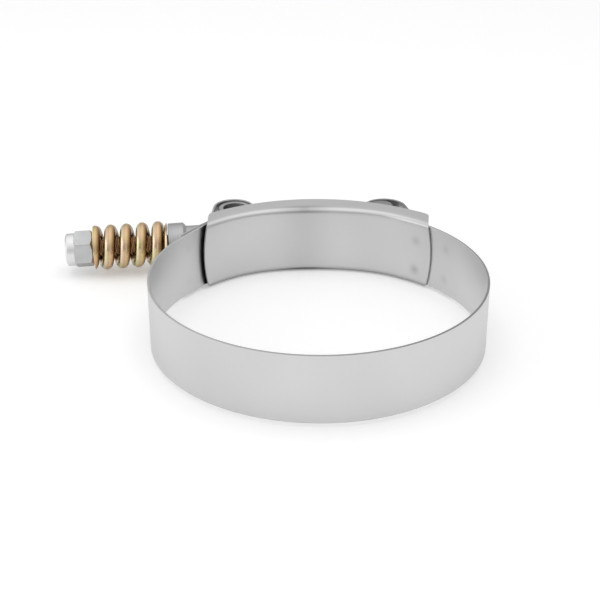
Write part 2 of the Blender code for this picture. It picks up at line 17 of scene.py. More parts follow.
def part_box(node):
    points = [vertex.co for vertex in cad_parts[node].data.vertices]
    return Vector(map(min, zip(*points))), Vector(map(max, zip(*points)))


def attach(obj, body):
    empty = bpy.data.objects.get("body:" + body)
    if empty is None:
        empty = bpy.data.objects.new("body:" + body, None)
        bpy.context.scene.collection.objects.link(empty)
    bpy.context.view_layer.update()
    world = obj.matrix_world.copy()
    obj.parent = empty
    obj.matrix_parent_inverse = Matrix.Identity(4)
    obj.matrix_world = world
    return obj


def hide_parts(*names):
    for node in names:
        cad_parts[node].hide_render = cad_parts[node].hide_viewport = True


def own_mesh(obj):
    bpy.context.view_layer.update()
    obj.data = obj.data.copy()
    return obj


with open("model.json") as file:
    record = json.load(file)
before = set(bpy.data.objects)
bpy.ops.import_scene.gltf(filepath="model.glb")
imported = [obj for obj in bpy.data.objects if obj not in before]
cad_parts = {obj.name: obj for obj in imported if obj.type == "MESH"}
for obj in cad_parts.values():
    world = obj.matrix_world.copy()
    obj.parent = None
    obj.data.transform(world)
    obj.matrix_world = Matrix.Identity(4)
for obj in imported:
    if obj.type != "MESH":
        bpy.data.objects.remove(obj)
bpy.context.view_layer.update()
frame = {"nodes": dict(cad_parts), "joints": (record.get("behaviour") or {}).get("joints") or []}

MM = 0.001
print("packed nodes:", sorted(frame["nodes"]))

# %% [markdown]
# ## The two frames of the clamp
# Everything round the hose is measured from the ring's centre, and everything on the bolt from the
# middle of its T head, along its own axis. The ring's centre comes from the band's box and its outer
# radius. The bolt's axis comes from the joint that turns the nut, so the pieces here follow the packed
# model.

# %% Ring centre and bolt axis
BAND_WIDTH = 19.05 * MM
BAND_THICKNESS = 0.65 * MM
BAND_OUTER_RADIUS = 46.1 * MM
NUT_MIDDLE_REACH = 91.68 * MM

band_low, band_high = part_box("band")
ring_centre = Vector(
    (
        band_high.x - BAND_OUTER_RADIUS,
        band_low.y + BAND_OUTER_RADIUS,
        (band_low.z + band_high.z) / 2,
    )
)
nut_turn = next(joint for joint in frame["joints"] if joint["name"] == "nut_turn")
towards_head = Vector(nut_turn["axis"]).normalized()
towards_nut = -towards_head
head_centre = Vector(nut_turn["pos_m"]) + NUT_MIDDLE_REACH * towards_head
barrel_up = (Vector((0, 0, 1)) - towards_nut.z * towards_nut).normalized()
bolt_side = towards_nut.cross(barrel_up)
bolt_axes = Matrix((barrel_up, bolt_side, towards_nut)).transposed()
bolt_frame = Matrix.Translation(head_centre) @ bolt_axes.to_4x4()
print("ring centre:", [round(value / MM, 2) for value in ring_centre], "mm")
print("T head:", [round(value / MM, 2) for value in head_centre], "mm")

# %% [markdown]
# ## Tools of the bench
# A few helpers keep the cells short. Everything is deselected before a primitive is added, because an
# operator works on all that is selected. A modifier could stay live, but an applied one leaves a plain
# mesh that the next step can select from, so each is applied at once.

# %% Select, apply and combine
def select_only(*objects):
    bpy.ops.object.select_all(action="DESELECT")
    for obj in objects:
        obj.select_set(True)
    bpy.context.view_layer.objects.active = objects[0]


def apply_modifier(piece, kind, **settings):
    """Adds one modifier with its settings and applies it."""
    select_only(piece)
    bpy.ops.object.modifier_add(type=kind)
    modifier = piece.modifiers[-1]
    for setting, value in settings.items():
        setattr(modifier, setting, value)
    bpy.ops.object.modifier_apply(modifier=modifier.name)
    return piece


def combine(piece, tool, operation):
    """Joins, cuts or intersects the piece with a tool, which is then thrown away."""
    apply_modifier(piece, "BOOLEAN", object=tool, operation=operation, solver="EXACT")
    bpy.data.objects.remove(tool)
    return piece


def round_edges(piece, width, segments=2, angle=35):
    return apply_modifier(
        piece,
        "BEVEL",
        width=width,
        segments=segments,
        limit_method="ANGLE",
        angle_limit=math.radians(angle),
    )


# %% [markdown]
# ## Placing and finishing a piece
# Each piece is made about the origin, where a lathe or a block is easy to measure, and then moved to
# its place on the clamp. The move is applied, so the object stays at the origin and its place is in its
# vertices: a pattern on Object coordinates then keeps its size and never slides. An edge that doesn't
# lie between two faces is a hole in a solid, so the count of such edges is printed for every piece.

# %% Place, count open edges and finish
def place(piece, matrix):
    """Moves a piece that was made about the origin to its place, and leaves the object at the origin."""
    piece.matrix_world = matrix
    select_only(piece)
    bpy.ops.object.transform_apply(location=True, rotation=True, scale=True)
    return piece


def open_edges(piece):
    """How many edges don't lie between exactly two faces. A closed solid has none."""
    uses = Counter(key for face in piece.data.polygons for key in face.edge_keys)
    return sum(count != 2 for count in uses.values())


def finish(piece, body, slot, *materials, smooth=30):
    """Gives a piece its finishes, smooths its round sides and lets it ride on its body."""
    for material in materials:
        piece.data.materials.append(material)
    select_only(piece)
    bpy.ops.object.shade_smooth_by_angle(angle=math.radians(smooth))
    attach(piece, body)
    size = piece.dimensions / MM
    faces = len(piece.data.polygons)
    print(f"{piece.name}: {faces} faces, {size.x:.1f} x {size.y:.1f} x {size.z:.1f} mm,", end=" ")
    print(open_edges(piece), "open edges")
    return piece


# %% [markdown]
# ## A lathe
# Trunnion, T head, seat, nut collar and nylon ring are all turned. A ring of vertices is pulled into
# the outline of half a section and spun about the Z axis. Where an outline touches the axis, the spin
# leaves a bare edge there, which goes with the loose parts.

# %% Spin an outline into a turned piece
MERGE_DISTANCE = 0.002 * MM


def lathe(name, outline, steps=96):
    bpy.ops.object.select_all(action="DESELECT")
    bpy.ops.mesh.primitive_circle_add(vertices=len(outline), fill_type="NOTHING")
    piece = bpy.context.object
    piece.name = name
    piece.data.name = name
    for vert, (radius, height) in zip(piece.data.vertices, outline):
        vert.co = (radius, 0.0, height)
    bpy.ops.object.mode_set(mode="EDIT")
    bpy.ops.mesh.select_all(action="SELECT")
    bpy.ops.mesh.spin(steps=steps, angle=math.tau, center=(0, 0, 0), axis=(0, 0, 1))
    bpy.ops.mesh.select_all(action="SELECT")
    bpy.ops.mesh.remove_doubles(threshold=MERGE_DISTANCE)
    bpy.ops.mesh.delete_loose(use_verts=True, use_edges=True, use_faces=False)
    bpy.ops.mesh.select_all(action="SELECT")
    bpy.ops.mesh.normals_make_consistent(inside=False)
    bpy.ops.object.mode_set(mode="OBJECT")
    return piece


# %% [markdown]
# ## Sheet metal from a grid
# Band and bridge are sheet metal. Each starts as a flat grid, one row of faces per step along the
# strip, and every vertex is then laid on the sheet's middle surface by a rule. Solidify gives the
# thickness on both sides of it, and marks the cut edges with a second material. A small bevel then
# breaks the sheared edges.

# %% Bend a grid into a sheet
def bend_sheet(name, columns, rows, rule, thickness, *materials):
    bpy.ops.object.select_all(action="DESELECT")
    bpy.ops.mesh.primitive_grid_add(x_subdivisions=columns, y_subdivisions=rows, size=2.0)
    sheet = bpy.context.object
    sheet.name = name
    sheet.data.name = name
    for material in materials:
        sheet.data.materials.append(material)
    for vert in sheet.data.vertices:
        column = round((vert.co.x + 1) / 2 * columns)
        vert.co = rule(column, vert.co.y)
    return apply_modifier(
        sheet,
        "SOLIDIFY",
        thickness=thickness,
        offset=0.0,
        use_even_offset=True,
        material_offset_rim=1,
    )


# %% [markdown]
# ## The course of the band
# The band is one strip of steel. From the front it runs round to the back on both sides, turns back
# outwards round a loop, and lies down on itself, where it is welded. On the T head's side the loop is
# narrower than the band. Ring, loops and tails could be modelled apart and joined, but a real strip has
# no joins, and a single course keeps its thickness and its grain even all the way.

# %% Measures of the two ends
BAND_MID_RADIUS = BAND_OUTER_RADIUS - BAND_THICKNESS / 2
SEAM_GAP = 0.3 * MM
RING_STEP = math.radians(0.8)
LOOP_STEP = math.radians(5)
HEAD_END = {
    "flare": 1.85 * MM,
    "flare_from": math.radians(57),
    "flare_to": math.radians(67),
    "direction": math.radians(67.6),
    "radius": 6.325 * MM,
    "lean": math.radians(14),
    "fillet": 5.0 * MM,
    "tail_end": math.radians(32),
    "width": 16.4 * MM,
}
TRUNNION_END = {
    "flare": 1.4 * MM,
    "flare_from": math.radians(33),
    "flare_to": math.radians(55),
    "direction": math.radians(61.5),
    "radius": 5.775 * MM,
    "lean": math.radians(4),
    "fillet": 4.0 * MM,
    "tail_end": math.radians(32),
    "width": BAND_WIDTH,
}
print("radius of the strip's middle:", round(BAND_MID_RADIUS / MM, 3), "mm")

# %% [markdown]
# ## Arcs and smooth steps
# A bent strip is made of arcs, so one helper lists the points of an arc and another divides any range
# into even steps. The smooth step rises from 0 to 1 with no corner, as steel does where it starts to
# bend.

# %% Points on arcs
def polar(radius, angle):
    return Vector((radius * math.cos(angle), radius * math.sin(angle)))


def steps_between(start, end, step):
    count = max(1, round(abs(end - start) / step))
    return [start + (end - start) * index / count for index in range(count + 1)]


def arc(centre, radius, start, end):
    return [centre + polar(radius, angle) for angle in steps_between(start, end, LOOP_STEP)]


def smooth_step(value):
    value = min(max(value, 0.0), 1.0)
    return value * value * (3 - 2 * value)


# %% [markdown]
# ## Ring, tail and loop
# Near its loop the ring flares out a little, to clear the bridge. The tail lies over it, one thickness
# and a seam further out. The loop stands on the ring, and between its straight side and the tail there
# is a fillet, tangent to both. Its centre is found by a few rounds of guessing its angle on the ring
# and correcting it, which is shorter than solving for it, because the ring's radius changes along the
# flare.

# %% Radii of ring and tail, and the foot of a loop
FOOT_BEHIND_LOOP = math.radians(20)
FOOT_ROUNDS = 4


def flare_share(end, angle):
    return smooth_step((angle - end["flare_from"]) / (end["flare_to"] - end["flare_from"]))


def ring_radius(end, angle):
    return BAND_MID_RADIUS + end["flare"] * flare_share(end, angle)


def tail_radius(end, angle):
    return ring_radius(end, angle) + BAND_THICKNESS + SEAM_GAP


def loop_centre(end):
    return polar(ring_radius(end, end["direction"]) + end["radius"], end["direction"])


def foot_of_loop(end, top):
    """Centre of the fillet between the loop's straight side and the tail, and its angle on the ring."""
    heading = Vector((math.sin(end["lean"]), -math.cos(end["lean"])))
    start = top + end["fillet"] * Vector((math.cos(end["lean"]), math.sin(end["lean"])))
    landing = end["direction"] - FOOT_BEHIND_LOOP
    for _ in range(FOOT_ROUNDS):
        reach = tail_radius(end, landing) + end["fillet"]
        ahead = start.dot(heading)
        along = -ahead - math.sqrt(ahead**2 - start.length_squared + reach**2)
        centre = start + along * heading
        landing = math.atan2(centre.y, centre.x)
    return centre, landing


for end in (TRUNNION_END, HEAD_END):
    centre = loop_centre(end)
    print("loop centre:", round(centre.x / MM, 2), round(centre.y / MM, 2), "mm")

# %% [markdown]
# ## Walking along the strip
# The course of one end is a list of points with the strip's width at each, and with the side on which a
# weld presses it: outwards on the ring, inwards on the tail. It is worked out as a right-hand end, and
# the trunnion's end is then mirrored, so the same few lines serve both ends.

# %% Course of the whole strip
def half_course(end):
    """(point, width, side of a weld's dent) from the front to the tail's end."""
    course = []
    for angle in steps_between(-math.pi / 2, end["direction"], RING_STEP):
        width = BAND_WIDTH + (end["width"] - BAND_WIDTH) * flare_share(end, angle)
        course.append((polar(ring_radius(end, angle), angle), width, 1))
    loop = arc(loop_centre(end), end["radius"], end["direction"] + math.pi, end["lean"])
    centre, landing = foot_of_loop(end, loop[-1])
    fillet = arc(centre, end["fillet"], math.pi + end["lean"], math.pi + landing)
    course += [(point, end["width"], 0) for point in loop[1:] + fillet]
    for angle in steps_between(landing, end["tail_end"], RING_STEP)[1:]:
        course.append((polar(tail_radius(end, angle), angle), end["width"], -1))
    return course


left_course = []
for point, width, side in half_course(TRUNNION_END):
    left_course.append((Vector((-point.x, point.y)), width, side))
band_course = left_course[:0:-1] + half_course(HEAD_END)
print("steps along the strip:", len(band_course) - 1)

# %% [markdown]
# ## Spot welds
# A spot weld leaves a shallow round dent where the electrode pressed. A bump in the finish would vanish
# in the exported mesh, so the dents are pressed into the grid itself. Each weld has its degrees round
# the ring, its height in millimetres and its strength.

# %% Dents of the spot welds
WELD_DENT = 0.14 * MM
WELD_RADIUS = 1.35 * MM
BAND_WELDS = [(35.4, 4.7, 0.3), (35.4, -5.1, 0.3), (145.5, 4.9, 0.1), (145.5, -5.1, 0.1)]
BRIDGE_WELDS = [(49.6, 3.9, 0.45), (49.8, -5.5, 0.7)]


def weld_distance(point, height, weld):
    """Distance on the ring's surface from a weld."""
    angle = math.atan2(point.y, point.x) - math.radians(weld[0])
    return math.hypot(point.length * angle, height - weld[1] * MM)


def dent_depth(point, height, welds):
    depth = 0.0
    for weld in welds:
        nearness = math.exp(-((weld_distance(point, height, weld) / WELD_RADIUS) ** 4))
        depth += weld[2] * WELD_DENT * nearness
    return depth


print("welds:", len(BAND_WELDS), "on the band,", len(BRIDGE_WELDS), "on the bridge")

# %% [markdown]
# ## Weld stains and painted shade
# Round a weld the steel is stained grey. Painted shade darkens the bridge at mid-span, where it dims the
# highlight on the upper bend, and a painted shadow darkens its lower bend. Painted shade also darkens the
# band's inner face in the gap behind the bridge's sliding end. Stains and shade like these could be painted
# by hand on an image. Here a vertex attribute holds them, because it follows the mesh, needs no file and
# reaches the finish through an Attribute node. Angles here are in degrees and heights in millimetres.

# %% Paint the stains and the shade
WELD_HALO = 1.35 * MM
# Painted shade on the bridge: darker at mid-span, where it dims the upper bend's highlight, and a painted
# shadow along the lower bend.
BRIDGE_SHADE_MIDDLE = 5.0
BRIDGE_SHADE_WIDTH = 9.0
UPPER_BEND = 8.3
UPPER_BEND_EXTRA = 1.5
LOWER_BEND = 8.6
LOWER_BEND_SHARE = 2.4
BEND_FADE = 0.8
# Painted shade on the band's inner face, in the dark gap behind the bridge's sliding left end.
GAP_SHADE_FROM = 40.9
GAP_SHADE_CURVE = 1.9
GAP_SHADE_FADE = 0.9


def gap_shade_share(point, height):
    """Painted shade: 1 on the band's inner face in the dark gap behind the bridge's sliding left end, and 0
    in the open.
    """
    angle = math.atan2(point.y, -point.x)
    if point.x > 0 or point.length > ring_radius(TRUNNION_END, angle):
        return 0.0
    edge = GAP_SHADE_FROM + GAP_SHADE_CURVE * (height / (BAND_WIDTH / 2)) ** 2
    return smooth_step((math.degrees(angle) - edge) / GAP_SHADE_FADE)


def bridge_shade_share(point, height):
    """Painted shade on the bridge: darker at mid-span, stronger on its upper bend, and a painted shadow
    along its lower bend.
    """
    off_middle = math.degrees(math.atan2(point.x, point.y)) + BRIDGE_SHADE_MIDDLE
    upper = smooth_step((height / MM - UPPER_BEND) / BEND_FADE)
    lower = smooth_step((-height / MM - LOWER_BEND) / BEND_FADE)
    middle = math.exp(-((off_middle / BRIDGE_SHADE_WIDTH) ** 2))
    return (1 + UPPER_BEND_EXTRA * upper) * middle + LOWER_BEND_SHARE * lower


def paint_stains_and_shade(piece, welds, bridge_shade=0.0, gap_shade=0.0):
    """Stores how far each vertex is darkened, from 0 to 1: weld stains and painted shade."""
    stain_and_shade = piece.data.attributes.new("stain_and_shade", "FLOAT", "POINT")
    for vert in piece.data.vertices:
        from_centre = vert.co - ring_centre
        point = Vector((from_centre.x, from_centre.y))
        darkening = gap_shade * gap_shade_share(point, from_centre.z)
        if point.length < BAND_OUTER_RADIUS + 3 * MM:
            for weld in welds:
                distance = weld_distance(point, from_centre.z, weld)
                darkening += weld[2] * math.exp(-((distance / WELD_HALO) ** 2))
        if point.length < BAND_OUTER_RADIUS:
            darkening += bridge_shade * bridge_shade_share(point, from_centre.z)
        stain_and_shade.data[vert.index].value = min(darkening, 1.0)
    darkened_count = sum(entry.value > 0.1 for entry in stain_and_shade.data)
    print(piece.name, "has", darkened_count, "dull vertices")


# %% [markdown]
# ## Building a finish
# Every finish here is a tree of nodes round one Principled shader. It could be drawn in the Shader
# Editor, but in a script the same few steps come again for each metal, so five helpers make, link and
# fill such trees: a noise on stretched coordinates gives clouds or grain, and a ramp turns it into a
# colour or a roughness.

# %% Helpers for node trees
def principled(name):
    """A new material, with its node tree and its shader."""
    material = bpy.data.materials.new(name)
    material.use_nodes = True
    tree = material.node_tree
    return material, tree, tree.nodes["Principled BSDF"]


def link(tree, source, output, target, socket):
    tree.links.new(source.outputs[output], target.inputs[socket])


def noise(tree, coordinates, output, stretch, detail=3.0):
    """A noise texture on stretched coordinates."""
    mapping = tree.nodes.new("ShaderNodeMapping")
    mapping.inputs["Scale"].default_value = stretch
    texture = tree.nodes.new("ShaderNodeTexNoise")
    texture.inputs["Scale"].default_value = 1.0
    texture.inputs["Detail"].default_value = detail
    link(tree, coordinates, output, mapping, "Vector")
    link(tree, mapping, "Vector", texture, "Vector")
    return texture


def ramp(tree, source, output, *stops):
    """A colour ramp with (position, grey or colour) stops."""
    node = tree.nodes.new("ShaderNodeValToRGB")
    elements = node.color_ramp.elements
    while len(elements) < len(stops):
        elements.new(0.5)
    for element, (position, value) in zip(elements, stops):
        colour = (value, value, value) if isinstance(value, float) else value
        element.position = position
        element.color = (*colour, 1.0)
    link(tree, source, output, node, "Fac")
    return node


def calculate(tree, operation, *inputs):
    """A Math node. Each input is a number, or a node with the name of its output."""
    result = tree.nodes.new("ShaderNodeMath")
    result.operation = operation
    for socket, value in enumerate(inputs):
        if isinstance(value, tuple):
            link(tree, *value, result, socket)
        else:
            result.inputs[socket].default_value = value
    return result


# %% [markdown]
# ## Finish: stainless strip
# The strip is bright-rolled stainless steel, satin rather than mirror. Its look could come from a plain
# grey metal, but real strip is never even, so there are soft clouds in its colour and the faintest
# streaks from the rolling. The streaks follow the strip, so they read the grid's own UV map, stretched
# along its length.

# %% Rolled stainless steel
CLOUDS_PER_METRE = 28.0
CLOUD_SHARE = 0.04
STREAK_SHARE = 0.03
STREAK_STRENGTH = 0.05
FINE_BUMP = 0.03 * MM
STAIN_AND_SHADE_COLOUR = (0.14, 0.138, 0.135, 1.0)


def rolled_steel(name, grey, roughness, streaks):
    material, tree, shader = principled(name)
    shader.inputs["Metallic"].default_value = 1.0
    coordinates = tree.nodes.new("ShaderNodeTexCoord")
    cloud = noise(tree, coordinates, "Object", (CLOUDS_PER_METRE,) * 3, 1.0)
    low = tuple(channel * (1 - CLOUD_SHARE) for channel in grey)
    high = tuple(min(1.0, channel * (1 + CLOUD_SHARE)) for channel in grey)
    colour = ramp(tree, cloud, "Fac", (0.35, low), (0.65, high))
    streak = noise(tree, coordinates, "UV", streaks)
    grain = ramp(tree, streak, "Fac", (0.3, roughness - STREAK_SHARE), (0.7, roughness + STREAK_SHARE))
    link(tree, grain, "Color", shader, "Roughness")
    bump = tree.nodes.new("ShaderNodeBump")
    bump.inputs["Strength"].default_value = STREAK_STRENGTH
    bump.inputs["Distance"].default_value = FINE_BUMP
    link(tree, streak, "Fac", bump, "Height")
    link(tree, bump, "Normal", shader, "Normal")
    # The stored value darkens the colour: real weld stains, and painted shade behind the bridge's end and
    # on the bridge.
    stain_and_shade = tree.nodes.new("ShaderNodeAttribute")
    stain_and_shade.attribute_name = "stain_and_shade"
    darkened = tree.nodes.new("ShaderNodeMix")
    darkened.data_type = "RGBA"
    darkened.inputs["B"].default_value = STAIN_AND_SHADE_COLOUR
    strength = ramp(tree, stain_and_shade, "Fac", (0.0, 0.0), (0.7, 0.35), (1.0, 0.92))
    link(tree, strength, "Color", darkened, "Factor")
    link(tree, colour, "Color", darkened, "A")
    link(tree, darkened, "Result", shader, "Base Color")
    return material


strip_steel = rolled_steel("strip steel", (0.725, 0.725, 0.727), 0.38, (9.0, 160.0, 1.0))
bridge_steel = rolled_steel("bridge steel", (0.69, 0.69, 0.693), 0.33, (4.0, 90.0, 1.0))
print("finishes:", strip_steel.name, "and", bridge_steel.name)

# %% [markdown]
# ## Finish: sheared edges
# Shears leave an edge that is rougher than the face. Its grey is painted light and shade as well: on this
# clamp it goes from bright on the left, a painted highlight, to dark on the right, painted shade. One
# colour along the whole edge would look printed on, so the colour follows the X axis through a ramp, and a
# fine noise breaks it up.

# %% Sheared edges
EDGE_SHADE_FROM = -0.03
EDGE_SHADE_TO = 0.05
EDGE_GRAIN = (900.0, 900.0, 200.0)
EDGE_GRAIN_SHARE = 0.3


def shaded_cut_steel(name, left, right, roughness):
    """The sheared edge of a sheet, with painted light and shade from its grey at the left to its grey at
    the right.
    """
    material, tree, shader = principled(name)
    shader.inputs["Metallic"].default_value = 1.0
    shader.inputs["Roughness"].default_value = roughness
    coordinates = tree.nodes.new("ShaderNodeTexCoord")
    # Painted light and shade: the edge's grey ramps along the X axis, from the left to the right.
    split = tree.nodes.new("ShaderNodeSeparateXYZ")
    link(tree, coordinates, "Object", split, "Vector")
    along = tree.nodes.new("ShaderNodeMapRange")
    along.inputs["From Min"].default_value = EDGE_SHADE_FROM
    along.inputs["From Max"].default_value = EDGE_SHADE_TO
    link(tree, split, "X", along, "Value")
    grain = noise(tree, coordinates, "Object", EDGE_GRAIN)
    shade_position = calculate(tree, "MULTIPLY_ADD", (grain, "Fac"), EDGE_GRAIN_SHARE, (along, "Result"))
    colour = ramp(tree, shade_position, "Value", (0.15, left), (1.0, right))
    link(tree, colour, "Color", shader, "Base Color")
    return material


# Painted light and shade of each edge: its grey at the left, then at the right.
strip_edge = shaded_cut_steel("strip edge", 0.62, 0.36, 0.42)
bridge_edge = shaded_cut_steel("bridge edge", 0.50, 0.55, 0.42)
print("finishes:", strip_edge.name, "and", bridge_edge.name)

# %% [markdown]
# ## The band
# The strip's grid has its ends at the two tails and its middle at the front. It could be a curve with a
# flat profile, but a grid can also be narrowed and dented on the way. A small bevel breaks the sheared
# edges.

# %% Lay the strip along its course
BAND_ROWS = 36
BAND_EDGE_BEVEL = 0.12 * MM


def band_rule(column, share):
    point, width, side = band_course[column]
    height = share * width / 2
    dented = point.length + side * dent_depth(point, height, BAND_WELDS)
    point = point.normalized() * dented
    return ring_centre + Vector((point.x, point.y, height))


steps = len(band_course) - 1
band = bend_sheet("band_strip", steps, BAND_ROWS, band_rule, BAND_THICKNESS, strip_steel, strip_edge)
round_edges(band, BAND_EDGE_BEVEL, segments=1, angle=60)
strip_length = sum((b[0] - a[0]).length for a, b in zip(band_course, band_course[1:]))
print("strip length:", round(strip_length / MM, 1), "mm")

# %% [markdown]
# ## Windows for the bolt
# The bolt passes through both loops, so each has a window, punched with round corners before the strip
# was bent. Holes in a bent grid are awkward to model face by face. A block with rounded edges, turned
# in line with the bolt and subtracted by a Boolean, cuts clean walls through the curve in one go.

# %% Cut the windows
WINDOW_CORNER = 2.0 * MM
bolt_yaw = math.atan2(towards_head.y, towards_head.x)


def loop_window(end, side, left, right, low, height):
    """A block with rounded edges, placed over a loop."""
    centre = loop_centre(end)
    bottom = centre.y - low
    top = centre.y + end["radius"] + BAND_THICKNESS + WINDOW_CORNER
    middle = Vector((side * (centre.x + (right - left) / 2), (bottom + top) / 2, 0.0))
    bpy.ops.object.select_all(action="DESELECT")
    bpy.ops.mesh.primitive_cube_add(size=1.0)
    block = bpy.context.object
    place(block, Matrix.Diagonal((left + right, top - bottom, height, 1.0)))
    round_edges(block, WINDOW_CORNER, segments=6)
    return place(block, Matrix.Translation(ring_centre + middle) @ Matrix.Rotation(bolt_yaw, 4, "Z"))


head_window = loop_window(HEAD_END, 1, left=8.0 * MM, right=1.5 * MM, low=4.2 * MM, height=9.6 * MM)
combine(band, head_window, "DIFFERENCE")
trunnion_window = loop_window(
    TRUNNION_END, -1, left=8.0 * MM, right=8.0 * MM, low=4.5 * MM, height=10.6 * MM
)
combine(band, trunnion_window, "DIFFERENCE")
# Weld stains, and painted shade in the dark gap behind the bridge's left end.
paint_stains_and_shade(band, BAND_WELDS, gap_shade=1.0)
finish(band, "clamp", "band_steel")
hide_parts("band")

# %% [markdown]
# ## The bridge
# The bridge spans the gap under the bolt. It is a channel, pressed from thin sheet: a curved web that
# lies against the hose, and two flanges that are bent outwards and clasp the band's edges. It could be
# a solid ring piece that is cut out, but a grid whose rows go down the section bends as sheet does,
# with the same thickness in web, bends and flanges.

# %% Section of the channel
BRIDGE_THICKNESS = 0.5 * MM
BRIDGE_WEB_RADIUS = BAND_OUTER_RADIUS - BAND_THICKNESS - SEAM_GAP - BRIDGE_THICKNESS / 2
BRIDGE_DEPTH = 6.1 * MM
BRIDGE_BEND = 1.05 * MM
BRIDGE_CORNER = 0.9 * MM
FLANGE_EDGE_SHARES = (0.0, 0.04, 0.12, 0.25, 0.45, 0.7, 1.0)
FLANGE_SHARES = (0.66, 0.33)
WEB_STEPS = 14
bridge_low, bridge_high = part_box("bridge")
bridge_half_height = (bridge_high.z - bridge_low.z) / 2


def bridge_section():
    """(depth, height) down the channel's middle surface."""
    height = bridge_half_height - BRIDGE_THICKNESS / 2
    flat = BRIDGE_DEPTH - BRIDGE_CORNER - BRIDGE_BEND
    flange = [(BRIDGE_DEPTH - BRIDGE_CORNER * share, height) for share in FLANGE_EDGE_SHARES]
    flange += [(BRIDGE_BEND + flat * share, height) for share in FLANGE_SHARES]
    bend = arc(Vector((BRIDGE_BEND, height - BRIDGE_BEND)), BRIDGE_BEND, math.pi / 2, math.pi)[::3]
    web = [(0.0, (height - BRIDGE_BEND) * (1 - step / WEB_STEPS)) for step in range(1, WEB_STEPS)]
    half = flange + [(point.x, point.y) for point in bend] + web
    return half + [(0.0, 0.0)] + [(depth, -height) for depth, height in reversed(half)]


section = bridge_section()
print("points down the section:", len(section))

# %% [markdown]
# ## Span of the bridge
# Seen from the front, the bridge's ends bulge a little, its flanges have rounded corners and its right
# end is cut at a slant. The web is pressed in at mid-span, and its right end is welded down on the
# band. Each of these is a small term in the rule that lays a point of the grid in its place, which is
# easier to change than vertices that were pulled by hand.

# %% Rule of the bridge
BRIDGE_HALF_SPAN = 32.2 * MM
BRIDGE_BULGE = 1.0 * MM
BRIDGE_RIGHT_SLANT = 0.8 * MM
BRIDGE_SEATED = 0.2 * MM
SEATED_FROM = 0.75
SEATED_OVER = 0.2
BRIDGE_PRESS = 1.3 * MM
BRIDGE_PRESS_ANGLE = math.radians(34)
BRIDGE_COLUMNS = 110


def bridge_half_length(depth, height, along):
    bulge = BRIDGE_BULGE * (1 - (height / bridge_half_height) ** 2)
    inset = max(0.0, depth - (BRIDGE_DEPTH - BRIDGE_CORNER))
    corner = BRIDGE_CORNER - math.sqrt(max(0.0, BRIDGE_CORNER**2 - inset**2))
    slant = BRIDGE_RIGHT_SLANT * depth / BRIDGE_DEPTH if along < 0 else 0.0
    return BRIDGE_HALF_SPAN + bulge - corner + slant


def bridge_rule(column, share):
    depth, height = section[round((1 - share) / 2 * (len(section) - 1))]
    along = 2 * column / BRIDGE_COLUMNS - 1
    seated = smooth_step((-along - SEATED_FROM) / SEATED_OVER)
    radius = BRIDGE_WEB_RADIUS + depth + BRIDGE_SEATED * seated
    turn = along * math.asin(bridge_half_length(depth, height, along) / radius)
    pressed = 0.0
    if abs(turn) < BRIDGE_PRESS_ANGLE:
        pressed = BRIDGE_PRESS * math.cos(math.pi / 2 * turn / BRIDGE_PRESS_ANGLE) ** 2
    point = polar(radius - pressed * (1 - depth / BRIDGE_DEPTH), math.pi / 2 + turn)
    if depth == 0.0:
        point = point.normalized() * (point.length + dent_depth(point, height, BRIDGE_WELDS))
    return ring_centre + Vector((point.x, point.y, height))


# %% [markdown]
# ## Bending the bridge
# The grid has one row for each step down the section, so it gets its shape, its thickness and its broken
# edges from the same tools as the band. After that its weld stains and its painted shade, at mid-span and
# along the lower bend, are stored.

# %% Bend the bridge
BRIDGE_EDGE_BEVEL = 0.1 * MM
rows = len(section) - 1
bridge = bend_sheet(
    "bridge_channel", BRIDGE_COLUMNS, rows, bridge_rule, BRIDGE_THICKNESS, bridge_steel, bridge_edge
)
round_edges(bridge, BRIDGE_EDGE_BEVEL, segments=1, angle=60)
# Weld stains, painted shade at mid-span and a painted shadow along the lower bend.
paint_stains_and_shade(bridge, BRIDGE_WELDS, bridge_shade=0.3)
finish(bridge, "clamp", "bridge_steel")
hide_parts("bridge")

# %% [markdown]
# ## Finish: turned, forged and plated metal
# The bolt and its trunnion are duller than the strip, and zinc plate is paler and a little cloudy. These
# metals differ only in colour, gloss and grain, so one function makes them all, and each call says what
# differs. The nut's collar gets a paler copy of the zinc plate, a painted highlight. The thread is tinted
# brown under the spring, a painted reflection and shade of the coils there, and a tint is steadier than
# waiting for many reflections to find their way between them.

# %% Finishes of the bolt's hardware
MOTTLES_PER_METRE = 240.0
GRIT_STRENGTH = 0.15


def plain_metal(name, grey, roughness, grain, mottling):
    """Bare or plated metal: cloudy in colour, with a fine grain in its roughness and bump."""
    material, tree, shader = principled(name)
    shader.inputs["Metallic"].default_value = 1.0
    coordinates = tree.nodes.new("ShaderNodeTexCoord")
    cloud = noise(tree, coordinates, "Object", (MOTTLES_PER_METRE,) * 3)
    low = tuple(channel * (1 - mottling) for channel in grey)
    high = tuple(min(1.0, channel * (1 + mottling)) for channel in grey)
    colour = ramp(tree, cloud, "Fac", (0.32, low), (0.68, high))
    link(tree, colour, "Color", shader, "Base Color")
    grit = noise(tree, coordinates, "Object", (grain,) * 3)
    rough = ramp(tree, grit, "Fac", (0.3, roughness - 0.06), (0.7, roughness + 0.08))
    link(tree, rough, "Color", shader, "Roughness")
    bump = tree.nodes.new("ShaderNodeBump")
    bump.inputs["Strength"].default_value = GRIT_STRENGTH
    bump.inputs["Distance"].default_value = FINE_BUMP
    link(tree, grit, "Fac", bump, "Height")
    link(tree, bump, "Normal", shader, "Normal")
    return material


turned_steel = plain_metal("turned steel", (0.49, 0.49, 0.50), 0.38, 2600.0, 0.06)
bolt_steel = plain_metal("bolt steel", (0.36, 0.36, 0.355), 0.33, 1800.0, 0.12)
zinc_plate = plain_metal("zinc plate", (0.60, 0.605, 0.61), 0.40, 1500.0, 0.07)
